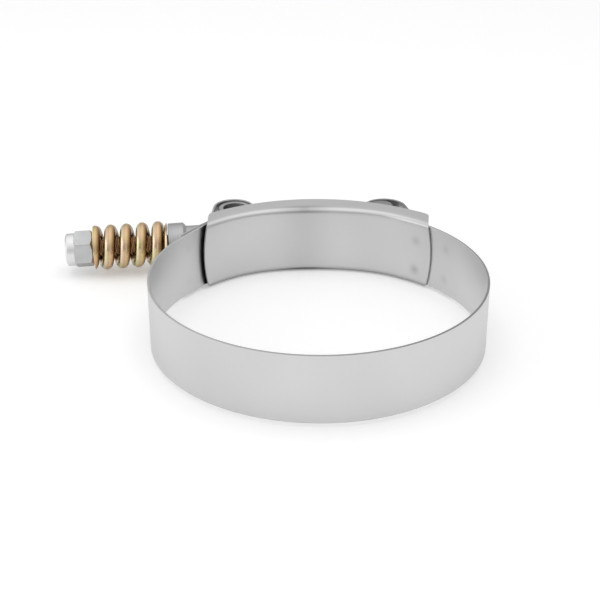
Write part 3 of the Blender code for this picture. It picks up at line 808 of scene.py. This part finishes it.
# Painted highlight: a brighter copy of the zinc plate, for the nut's collar.
collar_painted_highlight = plain_metal("collar plate", (0.84, 0.84, 0.85), 0.34, 1500.0, 0.05)
# Painted reflection and shade: the brown of the coils, tinted on the thread under the spring.
thread_painted_reflection = plain_metal("thread steel", (0.66, 0.44, 0.26), 0.50, 1800.0, 0.12)
hardware_metals = (turned_steel, bolt_steel, zinc_plate, collar_painted_highlight, thread_painted_reflection)
print("finishes:", ", ".join(material.name for material in hardware_metals))

# %% [markdown]
# ## Two materials on one piece
# The bolt and the nut each show a second material on a part of their length: the bolt a painted reflection
# and shade of the coils under the spring, the nut a painted highlight on its collar. They could be parted
# into two objects, but a solid piece of metal should stay one mesh. A second material slot does it: the
# faces between two heights on the piece's own axis are given to that slot.

# %% Give some faces a second material
def second_material(piece, material, low, high=1.0):
    """Gives the faces between two heights on the piece's own axis a second material."""
    piece.data.materials.append(material)
    for face in piece.data.polygons:
        if low < face.center.z < high:
            face.material_index = 1
    given = sum(face.material_index == 1 for face in piece.data.polygons)
    print(piece.name, "has", given, "faces of", material.name)
    return piece


# %% [markdown]
# ## The trunnion
# The trunnion is a short tube that stands in the left loop and lets the bolt swivel. A cylinder with a
# smaller one cut out of it would do, but a closed outline that is spun gives outside, bore and both
# ends in one go.

# %% Turn the trunnion
TRUNNION_RADIUS = 4.75 * MM
TRUNNION_BORE = 3.55 * MM
trunnion_low, trunnion_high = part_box("trunnion")
trunnion_centre = (trunnion_low + trunnion_high) / 2
trunnion_half = (trunnion_high.z - trunnion_low.z) / 2

trunnion = lathe(
    "trunnion_tube",
    [
        (TRUNNION_RADIUS, trunnion_half),
        (TRUNNION_RADIUS, -trunnion_half),
        (TRUNNION_BORE, -trunnion_half),
        (TRUNNION_BORE, trunnion_half),
    ],
)
print("trunnion:", round(2 * trunnion_half / MM, 2), "mm long")

# %% [markdown]
# ## The trunnion's cross hole
# The bolt passes through the tube, and the hole is taller than the bolt, so that it can tilt a little.
# A drill would leave a round hole. A bar with its four long edges rounded cuts the long one, and a
# weight on those edges tells the Bevel modifier which to round.

# %% Drill the cross hole
BOLT_RADIUS = 3.0 * MM
RUNNING_GAP = 0.3 * MM
TRUNNION_HOLE_HEIGHT = 9.0 * MM
TRUNNION_HOLE_ROUND = 0.97
TRUNNION_EDGE = 0.25 * MM
hole_width = 2 * (BOLT_RADIUS + RUNNING_GAP)
bpy.ops.object.select_all(action="DESELECT")
bpy.ops.mesh.primitive_cube_add(size=1.0)
bar = bpy.context.object
place(bar, Matrix.Diagonal((4 * TRUNNION_RADIUS, hole_width, TRUNNION_HOLE_HEIGHT, 1.0)))
bar.data.attributes.new("bevel_weight_edge", "FLOAT", "EDGE")
for edge in bar.data.edges:
    first, second = (bar.data.vertices[index].co for index in edge.vertices)
    along_bar = abs(first.x - second.x) > TRUNNION_RADIUS
    bar.data.attributes["bevel_weight_edge"].data[edge.index].value = 1.0 if along_bar else 0.0
rounding = TRUNNION_HOLE_ROUND * hole_width / 2
apply_modifier(bar, "BEVEL", width=rounding, segments=12, limit_method="WEIGHT")
place(bar, Matrix.Rotation(bolt_yaw, 4, "Z"))
combine(trunnion, bar, "DIFFERENCE")
round_edges(trunnion, TRUNNION_EDGE, segments=3)
place(trunnion, Matrix.Translation(trunnion_centre))
finish(trunnion, "clamp", "turned_steel", turned_steel)
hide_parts("trunnion")

# %% [markdown]
# ## The T bolt's thread
# The bolt is forged, with a barrel across its end, and the nut's end of its shank has a rolled M6
# thread. A bump in the finish could fake the thread, but it shows in outline beyond the nut, so it is
# geometry. It starts as one pitch of its outline: root, flank, crest and flank. A circle gives the
# points of that outline, and one edge between its ends is deleted to open it.

# %% Outline of one pitch
THREAD_PITCH = 1.0 * MM
THREAD_DEPTH = 0.61 * MM
THREAD_START = 27.0 * MM
BOLT_END = NUT_MIDDLE_REACH + 3.5 * MM
root = BOLT_RADIUS - THREAD_DEPTH
flank = THREAD_DEPTH * math.tan(math.radians(30))
crest = THREAD_PITCH / 8
thread_outline = [
    (root, 0.0),
    (BOLT_RADIUS, flank),
    (BOLT_RADIUS, flank + crest),
    (root, 2 * flank + crest),
    (root, THREAD_PITCH),
]
bpy.ops.object.select_all(action="DESELECT")
bpy.ops.mesh.primitive_circle_add(vertices=len(thread_outline), fill_type="NOTHING")
t_bolt = bpy.context.object
t_bolt.name = "t_bolt_forging"
for vert, (radius, height) in zip(t_bolt.data.vertices, thread_outline):
    vert.co = (radius, 0.0, THREAD_START - 2 * THREAD_PITCH + height)
bpy.ops.object.mode_set(mode="EDIT")
bpy.ops.mesh.select_all(action="DESELECT")
bpy.ops.object.mode_set(mode="OBJECT")
for end_of_chain in (0, len(thread_outline) - 1):
    t_bolt.data.vertices[end_of_chain].select = True
bpy.ops.object.mode_set(mode="EDIT")
bpy.ops.mesh.delete(type="EDGE_FACE")
bpy.ops.object.mode_set(mode="OBJECT")
print("edges in one pitch:", len(t_bolt.data.edges))

# %% [markdown]
# ## Rolling the thread
# The outline is swept round the bolt's axis by a Screw modifier that rises one pitch each turn, which
# is what a thread is. It runs a few turns too far at both ends. The rod is bisected flat there and
# filled, which closes it. The bisect has a threshold of its own, and at its usual size it would bend
# cuts as fine as these.

# %% Sweep and cut the threaded rod
THREAD_STEPS = 36
SPARE_TURNS = 4
CUT_TOLERANCE = 0.0005 * MM
turns = math.ceil((BOLT_END - THREAD_START) / THREAD_PITCH) + SPARE_TURNS
apply_modifier(
    t_bolt,
    "SCREW",
    axis="Z",
    angle=math.tau,
    screw_offset=THREAD_PITCH,
    iterations=turns,
    steps=THREAD_STEPS,
    render_steps=THREAD_STEPS,
    use_merge_vertices=True,
    merge_threshold=MERGE_DISTANCE,
)
bpy.ops.object.mode_set(mode="EDIT")
bpy.ops.mesh.select_all(action="SELECT")
bpy.ops.mesh.remove_doubles(threshold=MERGE_DISTANCE)
for height, direction in ((THREAD_START, -1), (BOLT_END, 1)):
    bpy.ops.mesh.select_all(action="SELECT")
    bpy.ops.mesh.bisect(
        plane_co=(0, 0, height),
        plane_no=(0, 0, direction),
        use_fill=True,
        clear_outer=True,
        threshold=CUT_TOLERANCE,
    )
bpy.ops.mesh.select_all(action="SELECT")
bpy.ops.mesh.normals_make_consistent(inside=False)
bpy.ops.object.mode_set(mode="OBJECT")
print("thread:", round((BOLT_END - THREAD_START) / MM, 1), "mm,", open_edges(t_bolt), "open edges")

# %% [markdown]
# ## Shank and T head
# The plain shank runs from the thread to the barrel, which lies in the right loop and is held there.
# They could simply overlap, but the real bolt is one forging. Boolean unions make it one closed mesh,
# after a turned outline has chamfered the thread's end.

# %% Join the shank and the T head
HEAD_RADIUS = 4.0 * MM
HEAD_HALF = 7.5 * MM
HEAD_EDGE = 0.6 * MM
SHANK_CHAMFER = 0.6 * MM
BOLT_CHAMFER = 0.5 * MM
UNDER_SPRING = (65.0 * MM, 87.2 * MM)
shank_outline = [
    (0.0, THREAD_START + SHANK_CHAMFER),
    (BOLT_RADIUS - SHANK_CHAMFER, THREAD_START + SHANK_CHAMFER),
    (BOLT_RADIUS, THREAD_START),
    (BOLT_RADIUS, 0.0),
    (0.0, 0.0),
]
shank = lathe("shank", shank_outline)
barrel_outline = [
    (0.0, HEAD_HALF),
    (HEAD_RADIUS, HEAD_HALF),
    (HEAD_RADIUS, -HEAD_HALF),
    (0.0, -HEAD_HALF),
]
barrel = lathe("barrel", barrel_outline)
round_edges(barrel, HEAD_EDGE, segments=3)
place(barrel, Matrix.Rotation(math.pi / 2, 4, "Y"))
point_outline = [
    (0.0, BOLT_END + MM),
    (BOLT_RADIUS - BOLT_CHAMFER - MM, BOLT_END + MM),
    (BOLT_RADIUS + MM, BOLT_END - BOLT_CHAMFER - MM),
    (BOLT_RADIUS + MM, -2 * HEAD_RADIUS),
    (0.0, -2 * HEAD_RADIUS),
]
combine(t_bolt, lathe("point", point_outline), "INTERSECT")
combine(t_bolt, shank, "UNION")
combine(t_bolt, barrel, "UNION")
t_bolt.data.materials.append(bolt_steel)
# Painted reflection and shade of the coils on the thread under the spring.
second_material(t_bolt, thread_painted_reflection, *UNDER_SPRING)
place(t_bolt, bolt_frame)
finish(t_bolt, "clamp", "bolt_steel")
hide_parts("t_bolt")

# %% [markdown]
# ## The spring seat
# A stepped sleeve slides on the bolt between trunnion and spring. Its slim end reaches through the
# loop's window to the trunnion, and its wide collar carries the spring. Three cylinders could be
# stacked, but the real one is turned from a bar, so it is a single outline on the lathe, with its
# corners broken by a small bevel.

# %% Turn the spring seat
SEAT_START = 49.687 * MM
SEAT_END = 64.78 * MM
SEAT_COLLAR_RADIUS = 5.85 * MM
SEAT_COLLAR_LENGTH = 5.6 * MM
SEAT_COLLAR_CHAMFER = 0.95 * MM
SEAT_NECK_RADIUS = 4.75 * MM
SEAT_NECK_LENGTH = 6.9 * MM
SEAT_PILOT_RADIUS = 4.0 * MM
SEAT_EDGE = 0.18 * MM
bore = BOLT_RADIUS + RUNNING_GAP
neck_end = SEAT_END - SEAT_COLLAR_LENGTH
neck_start = neck_end - SEAT_NECK_LENGTH
seat = lathe(
    "seat_sleeve",
    [
        (SEAT_COLLAR_RADIUS, SEAT_END),
        (SEAT_COLLAR_RADIUS, neck_end + SEAT_COLLAR_CHAMFER),
        (SEAT_NECK_RADIUS, neck_end),
        (SEAT_NECK_RADIUS, neck_start),
        (SEAT_PILOT_RADIUS, neck_start),
        (SEAT_PILOT_RADIUS, SEAT_START),
        (bore, SEAT_START),
        (bore, SEAT_END),
    ],
)
round_edges(seat, SEAT_EDGE, segments=3)
place(seat, bolt_frame)
finish(seat, "clamp", "turned_steel", turned_steel)
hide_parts("spring_seat")

# %% [markdown]
# ## Finish: yellow chromate
# The spring is zinc plated and passivated yellow. Across the wire its colour goes from brown to tan and
# pale yellow, which is painted light and shade: a pale highlight towards the nut's side, and brown shade
# where the wire faces the seat or the bolt. A thin-film shader could make such colours, but they would
# slide as the camera moves. Here a ramp reads an attribute that says which way the wire faces, and a slow
# noise shifts the colour towards pink or green.

# %% Finish of the spring
PATCHES_PER_METRE = 260.0
CHROMATE_GRIT = 1500.0


def chromate(name):
    """Painted light and shade: brown where the wire faces the seat, through tan to a pale yellow highlight,
    and olive where it faces the nut.
    """
    material, tree, shader = principled(name)
    shader.inputs["Metallic"].default_value = 1.0
    side = tree.nodes.new("ShaderNodeAttribute")
    side.attribute_name = "wire_light_and_shade"
    # Painted light and shade across the wire: brown shade, tan, a pale highlight, then olive.
    film_light_and_shade = ramp(
        tree,
        side,
        "Fac",
        (0.0, (0.28, 0.155, 0.07)),
        (0.13, (0.46, 0.26, 0.12)),
        (0.26, (0.70, 0.48, 0.26)),
        (0.42, (0.78, 0.59, 0.37)),
        (0.54, (0.65, 0.47, 0.31)),
        (0.66, (0.79, 0.64, 0.46)),
        (0.80, (0.97, 0.91, 0.70)),
        (0.91, (0.66, 0.62, 0.34)),
        (1.0, (0.30, 0.24, 0.12)),
    )
    coordinates = tree.nodes.new("ShaderNodeTexCoord")
    patches = noise(tree, coordinates, "Object", (PATCHES_PER_METRE,) * 3, 2.0)
    pink, neutral, green = (1.0, 0.90, 0.92), (0.96, 0.96, 0.92), (0.92, 1.0, 0.80)
    hue = ramp(tree, patches, "Fac", (0.35, pink), (0.5, neutral), (0.65, green))
    tinted = tree.nodes.new("ShaderNodeMix")
    tinted.data_type = "RGBA"
    tinted.blend_type = "MULTIPLY"
    tinted.inputs["Factor"].default_value = 1.0
    link(tree, film_light_and_shade, "Color", tinted, "A")
    link(tree, hue, "Color", tinted, "B")
    link(tree, tinted, "Result", shader, "Base Color")
    grit = noise(tree, coordinates, "Object", (CHROMATE_GRIT,) * 3)
    rough = ramp(tree, grit, "Fac", (0.3, 0.22), (0.7, 0.30))
    link(tree, rough, "Color", shader, "Roughness")
    return material


yellow_chromate = chromate("yellow chromate")
print("finish:", yellow_chromate.name)

# %% [markdown]
# ## Which way the wire faces
# Each vertex of the spring stores one number, from its normal: how far it faces the nut, which places the
# painted highlight. On the inside of the coil, next to the bolt, it counts as facing the seat, so painted
# shade darkens it there. Measuring it from the normal keeps the bands of painted light and shade along the
# wire, however the helix turns.

# %% Paint the light and shade of the wire
INSIDE_SHADE_FROM = -0.6
INSIDE_SHADE_OVER = 0.8


def paint_wire_light_and_shade(piece, start, towards):
    """Stores which way the wire faces, for its painted light and shade: 0 towards the seat or the bolt, 1
    outwards and to the nut.
    """
    side = piece.data.attributes.new("wire_light_and_shade", "FLOAT", "POINT")
    for vert in piece.data.vertices:
        from_start = vert.co - start
        outwards = (from_start - from_start.dot(towards) * towards).normalized()
        # Painted shade on the inside of the coil, next to the bolt.
        unshaded_share = smooth_step((vert.normal.dot(outwards) - INSIDE_SHADE_FROM) / INSIDE_SHADE_OVER)
        side.data[vert.index].value = unshaded_share * (1 + vert.normal.dot(towards)) / 2
    values = [entry.value for entry in side.data]
    print("wire side from", round(min(values), 2), "to", round(max(values), 2))


# %% [markdown]
# ## The spring's helix
# The spring is left-hand wound from round wire, with slightly closer turns at its ends. A Screw
# modifier makes an even helix, but it can't change its pitch on the way. So the path is listed point by
# point, from the nut's end: its height falls by the pitch of the turn that it is in. The coils lean a
# little, as on the real spring.

# %% Path of the wire
SPRING_LENGTH = 22.2 * MM
FIT_GAP = 0.3 * MM
SPRING_START = SEAT_END + FIT_GAP
SPRING_OUTER_RADIUS = 6.8 * MM
WIRE_DIAMETER = 3.45 * MM
SPRING_PITCH = 4.75 * MM
NUT_END_PITCH = 4.3 * MM
NUT_END_TURNS = 0.75
SEAT_END_PITCH = 3.75 * MM
SEAT_END_TURNS = 1.0
SPRING_TIP_OVERRUN = 0.35 * MM
SPRING_TIP_ANGLE = math.radians(200)
SPRING_LEAN = 0.55 * MM
SPRING_STEPS = 340
coil_radius = SPRING_OUTER_RADIUS - WIRE_DIAMETER / 2
spring_end = SPRING_START + SPRING_LENGTH
overrun = WIRE_DIAMETER / 2 - SPRING_TIP_OVERRUN
end_turns = NUT_END_TURNS + SEAT_END_TURNS
end_rise = NUT_END_TURNS * NUT_END_PITCH + SEAT_END_TURNS * SEAT_END_PITCH
spring_turns = end_turns + (SPRING_LENGTH + 2 * overrun - end_rise) / SPRING_PITCH
wire_path = []
for step in range(SPRING_STEPS + 1):
    turn = spring_turns * step / SPRING_STEPS
    near_nut = min(turn, NUT_END_TURNS)
    near_seat = max(0.0, turn - (spring_turns - SEAT_END_TURNS))
    between = turn - near_nut - near_seat
    fall = near_nut * NUT_END_PITCH + near_seat * SEAT_END_PITCH + between * SPRING_PITCH
    across = polar(coil_radius, SPRING_TIP_ANGLE + turn * math.tau)
    lean = SPRING_LEAN * across.normalized().y * (1 - near_seat / SEAT_END_TURNS)
    wire_path.append((across.x, across.y, spring_end + overrun - fall + lean))
print("turns:", round(spring_turns, 2))

# %% [markdown]
# ## Round wire
# A path becomes wire when its curve is given a round bevel. Sweeping a ring of vertices by hand would
# give the same, but the curve keeps the wire round and even wherever it bends. It is then converted to
# a mesh, because only a mesh can be ground.

# %% Draw the wire
WIRE_ROUNDNESS = 6
bpy.ops.object.select_all(action="DESELECT")
bpy.ops.curve.primitive_nurbs_path_add()
spring = bpy.context.object
spring.name = "coil_spring"
wire = spring.data
wire.splines.clear()
spline = wire.splines.new("POLY")
spline.points.add(SPRING_STEPS)
for point, on_helix in zip(spline.points, wire_path):
    point.co = (*on_helix, 1.0)
wire.bevel_depth = WIRE_DIAMETER / 2
wire.bevel_resolution = WIRE_ROUNDNESS
wire.use_fill_caps = True
select_only(spring)
bpy.ops.object.convert(target="MESH")
bpy.ops.object.mode_set(mode="EDIT")
bpy.ops.mesh.select_all(action="SELECT")
bpy.ops.mesh.remove_doubles(threshold=MERGE_DISTANCE)
bpy.ops.mesh.normals_make_consistent(inside=False)
bpy.ops.object.mode_set(mode="OBJECT")
print("wire:", len(spring.data.polygons), "faces")

# %% [markdown]
# ## Grinding the ends
# Both ends of a compression spring are ground flat, so that it sits square. Scaling the last points flat
# would thin the wire, and a bisect would leave its caps for later. A turned block that spans the spring's
# length does it in one step: an intersection keeps only what lies inside.

# %% Grind and fit the spring
grinding_radius = 2 * SPRING_OUTER_RADIUS
grinding_outline = [
    (0.0, spring_end),
    (grinding_radius, spring_end),
    (grinding_radius, SPRING_START),
    (0.0, SPRING_START),
]
combine(spring, lathe("grinding", grinding_outline, 24), "INTERSECT")
place(spring, bolt_frame)
# Painted light and shade of the wire.
paint_wire_light_and_shade(spring, head_centre, towards_nut)
finish(spring, "spring_end", "yellow_chromate", yellow_chromate, smooth=40)
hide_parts("spring")
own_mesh(spring)

# %% [markdown]
# ## The lock nut's hexagon
# The nut has a chamfered hexagon and a round collar. A bevel can't make its chamfer, because on a real
# nut a cone cuts the six corners and leaves curved lines on the flats. So the hexagon starts as a
# six-sided bar, and an intersection with a turned blank cuts it to length and chamfers it as a lathe
# does.

# %% Cut the hexagon
NUT_START = spring_end + FIT_GAP
NUT_ACROSS_FLATS = 10.0 * MM
NUT_HEX_LENGTH = 5.6 * MM
NUT_HEX_EDGE = 0.25 * MM
NUT_TURN = math.radians(-24)
NUT_CHAMFER = math.radians(38)
NUT_FACE_RADIUS = 4.85 * MM
shoulder = NUT_START + NUT_HEX_LENGTH
corner_radius = NUT_ACROSS_FLATS / 2 / math.cos(math.pi / 6)
bpy.ops.object.select_all(action="DESELECT")
bpy.ops.mesh.primitive_cylinder_add(vertices=6, radius=corner_radius, depth=NUT_HEX_LENGTH + 2 * MM)
nut = bpy.context.object
nut.name = "hex_nut"
round_edges(nut, NUT_HEX_EDGE, segments=3)
nut_middle = Matrix.Translation((0, 0, (NUT_START + shoulder) / 2))
place(nut, nut_middle @ Matrix.Rotation(NUT_TURN, 4, "Z"))
outside = corner_radius + MM
drop = (outside - NUT_FACE_RADIUS) * math.tan(NUT_CHAMFER)
blank_outline = [
    (0.0, shoulder),
    (NUT_FACE_RADIUS, shoulder),
    (outside, shoulder - drop),
    (outside, NUT_START + drop),
    (NUT_FACE_RADIUS, NUT_START),
    (0.0, NUT_START),
]
combine(nut, lathe("blank", blank_outline, 180), "INTERSECT")
print("hexagon:", round(2 * corner_radius / MM, 2), "mm across its corners")

# %% [markdown]
# ## The nut's collar
# The collar holds the nylon ring and is rolled over it, so its outer edge is well rounded. The curve is
# part of the turned outline, an arc between the end face and the wall. A bevel after the union would
# round the seam at the hexagon too.

# %% Turn and join the collar
NUT_COLLAR_LENGTH = 2.6 * MM
NUT_COLLAR_RADIUS = 4.92 * MM
NUT_COLLAR_ROUND = 0.8 * MM
nut_end = shoulder + NUT_COLLAR_LENGTH
inside_hexagon = NUT_START + NUT_HEX_LENGTH / 2
collar_corner = Vector((NUT_COLLAR_RADIUS - NUT_COLLAR_ROUND, nut_end - NUT_COLLAR_ROUND))
collar_curve = arc(collar_corner, NUT_COLLAR_ROUND, math.pi / 2, 0.0)
collar_outline = [(0.0, nut_end)] + [tuple(point) for point in collar_curve]
collar_outline += [(NUT_COLLAR_RADIUS, inside_hexagon), (0.0, inside_hexagon)]
combine(nut, lathe("collar", collar_outline, 120), "UNION")
print("nut length:", round((nut_end - NUT_START) / MM, 2), "mm")

# %% [markdown]
# ## The nut's bore
# The bore is chamfered where the bolt enters, and inside the collar it widens into a recess for the
# nylon ring. Drill, recess and mouth could be three cuts. Turned as one outline and subtracted once,
# they can't leave thin slivers between them.

# %% Bore the nut
NUT_COLLAR_WALL = 0.4 * MM
NUT_COLLAR_LIP = 0.45 * MM
INSERT_LENGTH = 1.6 * MM
BORE_CHAMFER = 0.5 * MM
CUT_OVERRUN = 0.1 * MM
CLOSE_TO_SHOULDER = 0.05 * MM
recess = NUT_COLLAR_RADIUS - NUT_COLLAR_WALL
mouth = nut_end - NUT_COLLAR_LIP
recess_floor = mouth - INSERT_LENGTH - 2 * FIT_GAP
bore_outline = [
    (0.0, nut_end + MM),
    (recess - NUT_COLLAR_LIP, nut_end + MM),
    (recess - NUT_COLLAR_LIP, mouth),
    (recess, mouth),
    (recess, recess_floor),
    (bore, recess_floor),
    (bore, NUT_START + BORE_CHAMFER),
    (bore + BORE_CHAMFER + CUT_OVERRUN, NUT_START - CUT_OVERRUN),
    (0.0, NUT_START - CUT_OVERRUN),
]
combine(nut, lathe("bore", bore_outline), "DIFFERENCE")
nut.data.materials.append(zinc_plate)
# Painted highlight: the collar gets the brighter copy of the zinc plate.
second_material(nut, collar_painted_highlight, shoulder + CLOSE_TO_SHOULDER)
place(nut, bolt_frame)
finish(nut, "nut", "zinc_plate")
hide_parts("lock_nut")

# %% [markdown]
# ## The nylon ring
# A ring of nylon in the collar grips the thread and keeps the nut from working loose. It is a plain
# turned ring with rounded edges. Nylon lets a little light in, so its shader has some subsurface, which
# is cheaper than real transmission and looks the same on so small a ring.

# %% Turn the nylon ring
INSERT_EDGE = 0.2 * MM
NYLON_CLOUDS = 400.0
insert_outline = [
    (recess - FIT_GAP, mouth - FIT_GAP),
    (recess - FIT_GAP, mouth - FIT_GAP - INSERT_LENGTH),
    (bore, mouth - FIT_GAP - INSERT_LENGTH),
    (bore, mouth - FIT_GAP),
]
insert = round_edges(lathe("nylon_ring", insert_outline), INSERT_EDGE, segments=3)
nylon, nylon_tree, nylon_shader = principled("nylon")
nylon_shader.inputs["Roughness"].default_value = 0.42
nylon_shader.inputs["Subsurface Weight"].default_value = 0.3
nylon_shader.inputs["Subsurface Radius"].default_value = (0.001, 0.001, 0.0008)
nylon_coordinates = nylon_tree.nodes.new("ShaderNodeTexCoord")
nylon_noise = noise(nylon_tree, nylon_coordinates, "Object", (NYLON_CLOUDS,) * 3)
nylon_colour = ramp(nylon_tree, nylon_noise, "Fac", (0.3, (0.70, 0.70, 0.66)), (0.7, (0.80, 0.80, 0.76)))
link(nylon_tree, nylon_colour, "Color", nylon_shader, "Base Color")
place(insert, bolt_frame)
finish(insert, "nut", "nylon", nylon)
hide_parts("nylon_insert")

# %% [markdown]
# ## The table
# The clamp lies on a pure white ground with soft shadows. More lamps would whiten it, but the metal
# would burn out with it. Instead the table gives off a little light of its own, for the camera and,
# weaker, for reflections, so it renders white while the clamp's shadow still shows.

# %% White table
TABLE_SIZE = 6.0
TABLE_BELOW = 0.2 * MM
TABLE_WHITE = 0.86
GLOW_SEEN = 0.25
GLOW_MIRRORED = 0.12
bpy.ops.object.select_all(action="DESELECT")
bpy.ops.mesh.primitive_plane_add(size=TABLE_SIZE, location=(0, 0, -TABLE_BELOW))
table = bpy.context.object
table.name = "table"
table_finish, tree, shader = principled("white table")
shader.inputs["Base Color"].default_value = (TABLE_WHITE, TABLE_WHITE, TABLE_WHITE, 1.0)
shader.inputs["Roughness"].default_value = 0.9
glow = tree.nodes.new("ShaderNodeEmission")
light_path = tree.nodes.new("ShaderNodeLightPath")
seen = calculate(tree, "MULTIPLY", (light_path, "Is Camera Ray"), GLOW_SEEN)
strength = calculate(tree, "MULTIPLY_ADD", (light_path, "Is Glossy Ray"), GLOW_MIRRORED, (seen, "Value"))
link(tree, strength, "Value", glow, "Strength")
both = tree.nodes.new("ShaderNodeAddShader")
link(tree, shader, "BSDF", both, 0)
link(tree, glow, "Emission", both, 1)
link(tree, both, "Shader", tree.nodes["Material Output"], "Surface")
table.data.materials.append(table_finish)
print("table:", TABLE_SIZE, "m square")

# %% [markdown]
# ## The world
# The clamp stands in a white room. An evenly white world would leave the metal flat, so in reflections
# the room grows brighter towards its top, which gives bent steel its gradients. All else is lit by an
# even and lower white, and the camera itself sees plain white, through Light Path's Is Camera Ray.

# %% White world
WORLD_FROM = 0.3
WORLD_LOW = 0.52
WORLD_TOP = 1.12
WORLD_LIGHT = 0.62
world = bpy.data.worlds.new("white room")
bpy.context.scene.world = world
world.use_nodes = True
tree = world.node_tree
background = tree.nodes["Background"]
background.inputs["Color"].default_value = (1.0, 1.0, 1.0, 1.0)
direction = tree.nodes.new("ShaderNodeTexCoord")
split = tree.nodes.new("ShaderNodeSeparateXYZ")
link(tree, direction, "Generated", split, "Vector")
rise = tree.nodes.new("ShaderNodeMapRange")
rise.inputs["From Min"].default_value = WORLD_FROM
rise.inputs["From Max"].default_value = 1.0
rise.inputs["To Min"].default_value = WORLD_LOW
rise.inputs["To Max"].default_value = WORLD_TOP
link(tree, split, "Z", rise, "Value")
light_path = tree.nodes.new("ShaderNodeLightPath")
reflected = tree.nodes.new("ShaderNodeMix")
reflected.inputs["A"].default_value = WORLD_LIGHT
link(tree, light_path, "Is Glossy Ray", reflected, "Factor")
link(tree, rise, "Result", reflected, "B")
shown = calculate(tree, "MAXIMUM", (light_path, "Is Camera Ray"), (reflected, "Result"))
link(tree, shown, "Value", background, "Strength")
print("world:", world.name)

# %% [markdown]
# ## Lamps
# A broad lamp overhead lays the soft shadow round the clamp, and a weaker one at the left brightens
# that side. A sun would give hard shadows, and a bare point a hot spot on the steel, so both are large
# squares. The one overhead stays out of reflections, where it would show as a square patch.

# %% Lamps
LAMP_HEIGHT = 0.9
LAMP_SIZE = 0.9
LAMP_POWER = 3.0
bpy.ops.object.light_add(type="AREA", location=(0.0, -0.1, LAMP_HEIGHT))
lamp = bpy.context.object
lamp.name = "overhead softbox"
lamp.data.size = LAMP_SIZE
lamp.data.energy = LAMP_POWER
lamp.visible_glossy = False

SIDE_LIGHT = Vector((-0.76, -0.24, 0.15))
SIDE_SIZE = 0.7
SIDE_POWER = 1.2
bpy.ops.object.light_add(type="AREA", location=SIDE_LIGHT)
side_lamp = bpy.context.object
side_lamp.name = "left softbox"
side_lamp.rotation_euler = (-SIDE_LIGHT).to_track_quat("-Z", "Y").to_euler()
side_lamp.data.size = SIDE_SIZE
side_lamp.data.energy = SIDE_POWER
print("lamps:", lamp.name, "and", side_lamp.name)

# %% [markdown]
# ## Camera
# The camera looks down at the clamp from the front, about 365 mm away, with a long lens. It could be
# aimed by eye, but it was fitted to the ring's two rims, so its place is given as distances from the
# ring's centre and its aim as angles.

# %% Camera
CAMERA_BACK = 325.65 * MM
CAMERA_UP = 164.74 * MM
CAMERA_DROP = math.radians(26.642)
CAMERA_ORBIT = math.radians(-0.58)
CAMERA_TURN = math.radians(0.874) + CAMERA_ORBIT
CAMERA_LENS = 80.01
SENSOR_WIDTH = 36.0
camera_data = bpy.data.cameras.new("camera")
camera = bpy.data.objects.new("camera", camera_data)
bpy.context.scene.collection.objects.link(camera)
camera_data.lens = CAMERA_LENS
camera_data.sensor_width = SENSOR_WIDTH
camera_data.sensor_fit = "AUTO"
camera_data.clip_start = 0.01
camera_data.clip_end = 20.0
camera_reach = Matrix.Rotation(CAMERA_ORBIT, 3, "Z") @ Vector((0.0, -CAMERA_BACK, CAMERA_UP))
camera.location = ring_centre + camera_reach
camera.rotation_euler = (math.pi / 2 - CAMERA_DROP, 0.0, CAMERA_TURN)
bpy.context.scene.camera = camera
bpy.context.scene.view_settings.view_transform = "Standard"
print("camera to the ring's centre:", round(camera_reach.length / MM, 1), "mm")
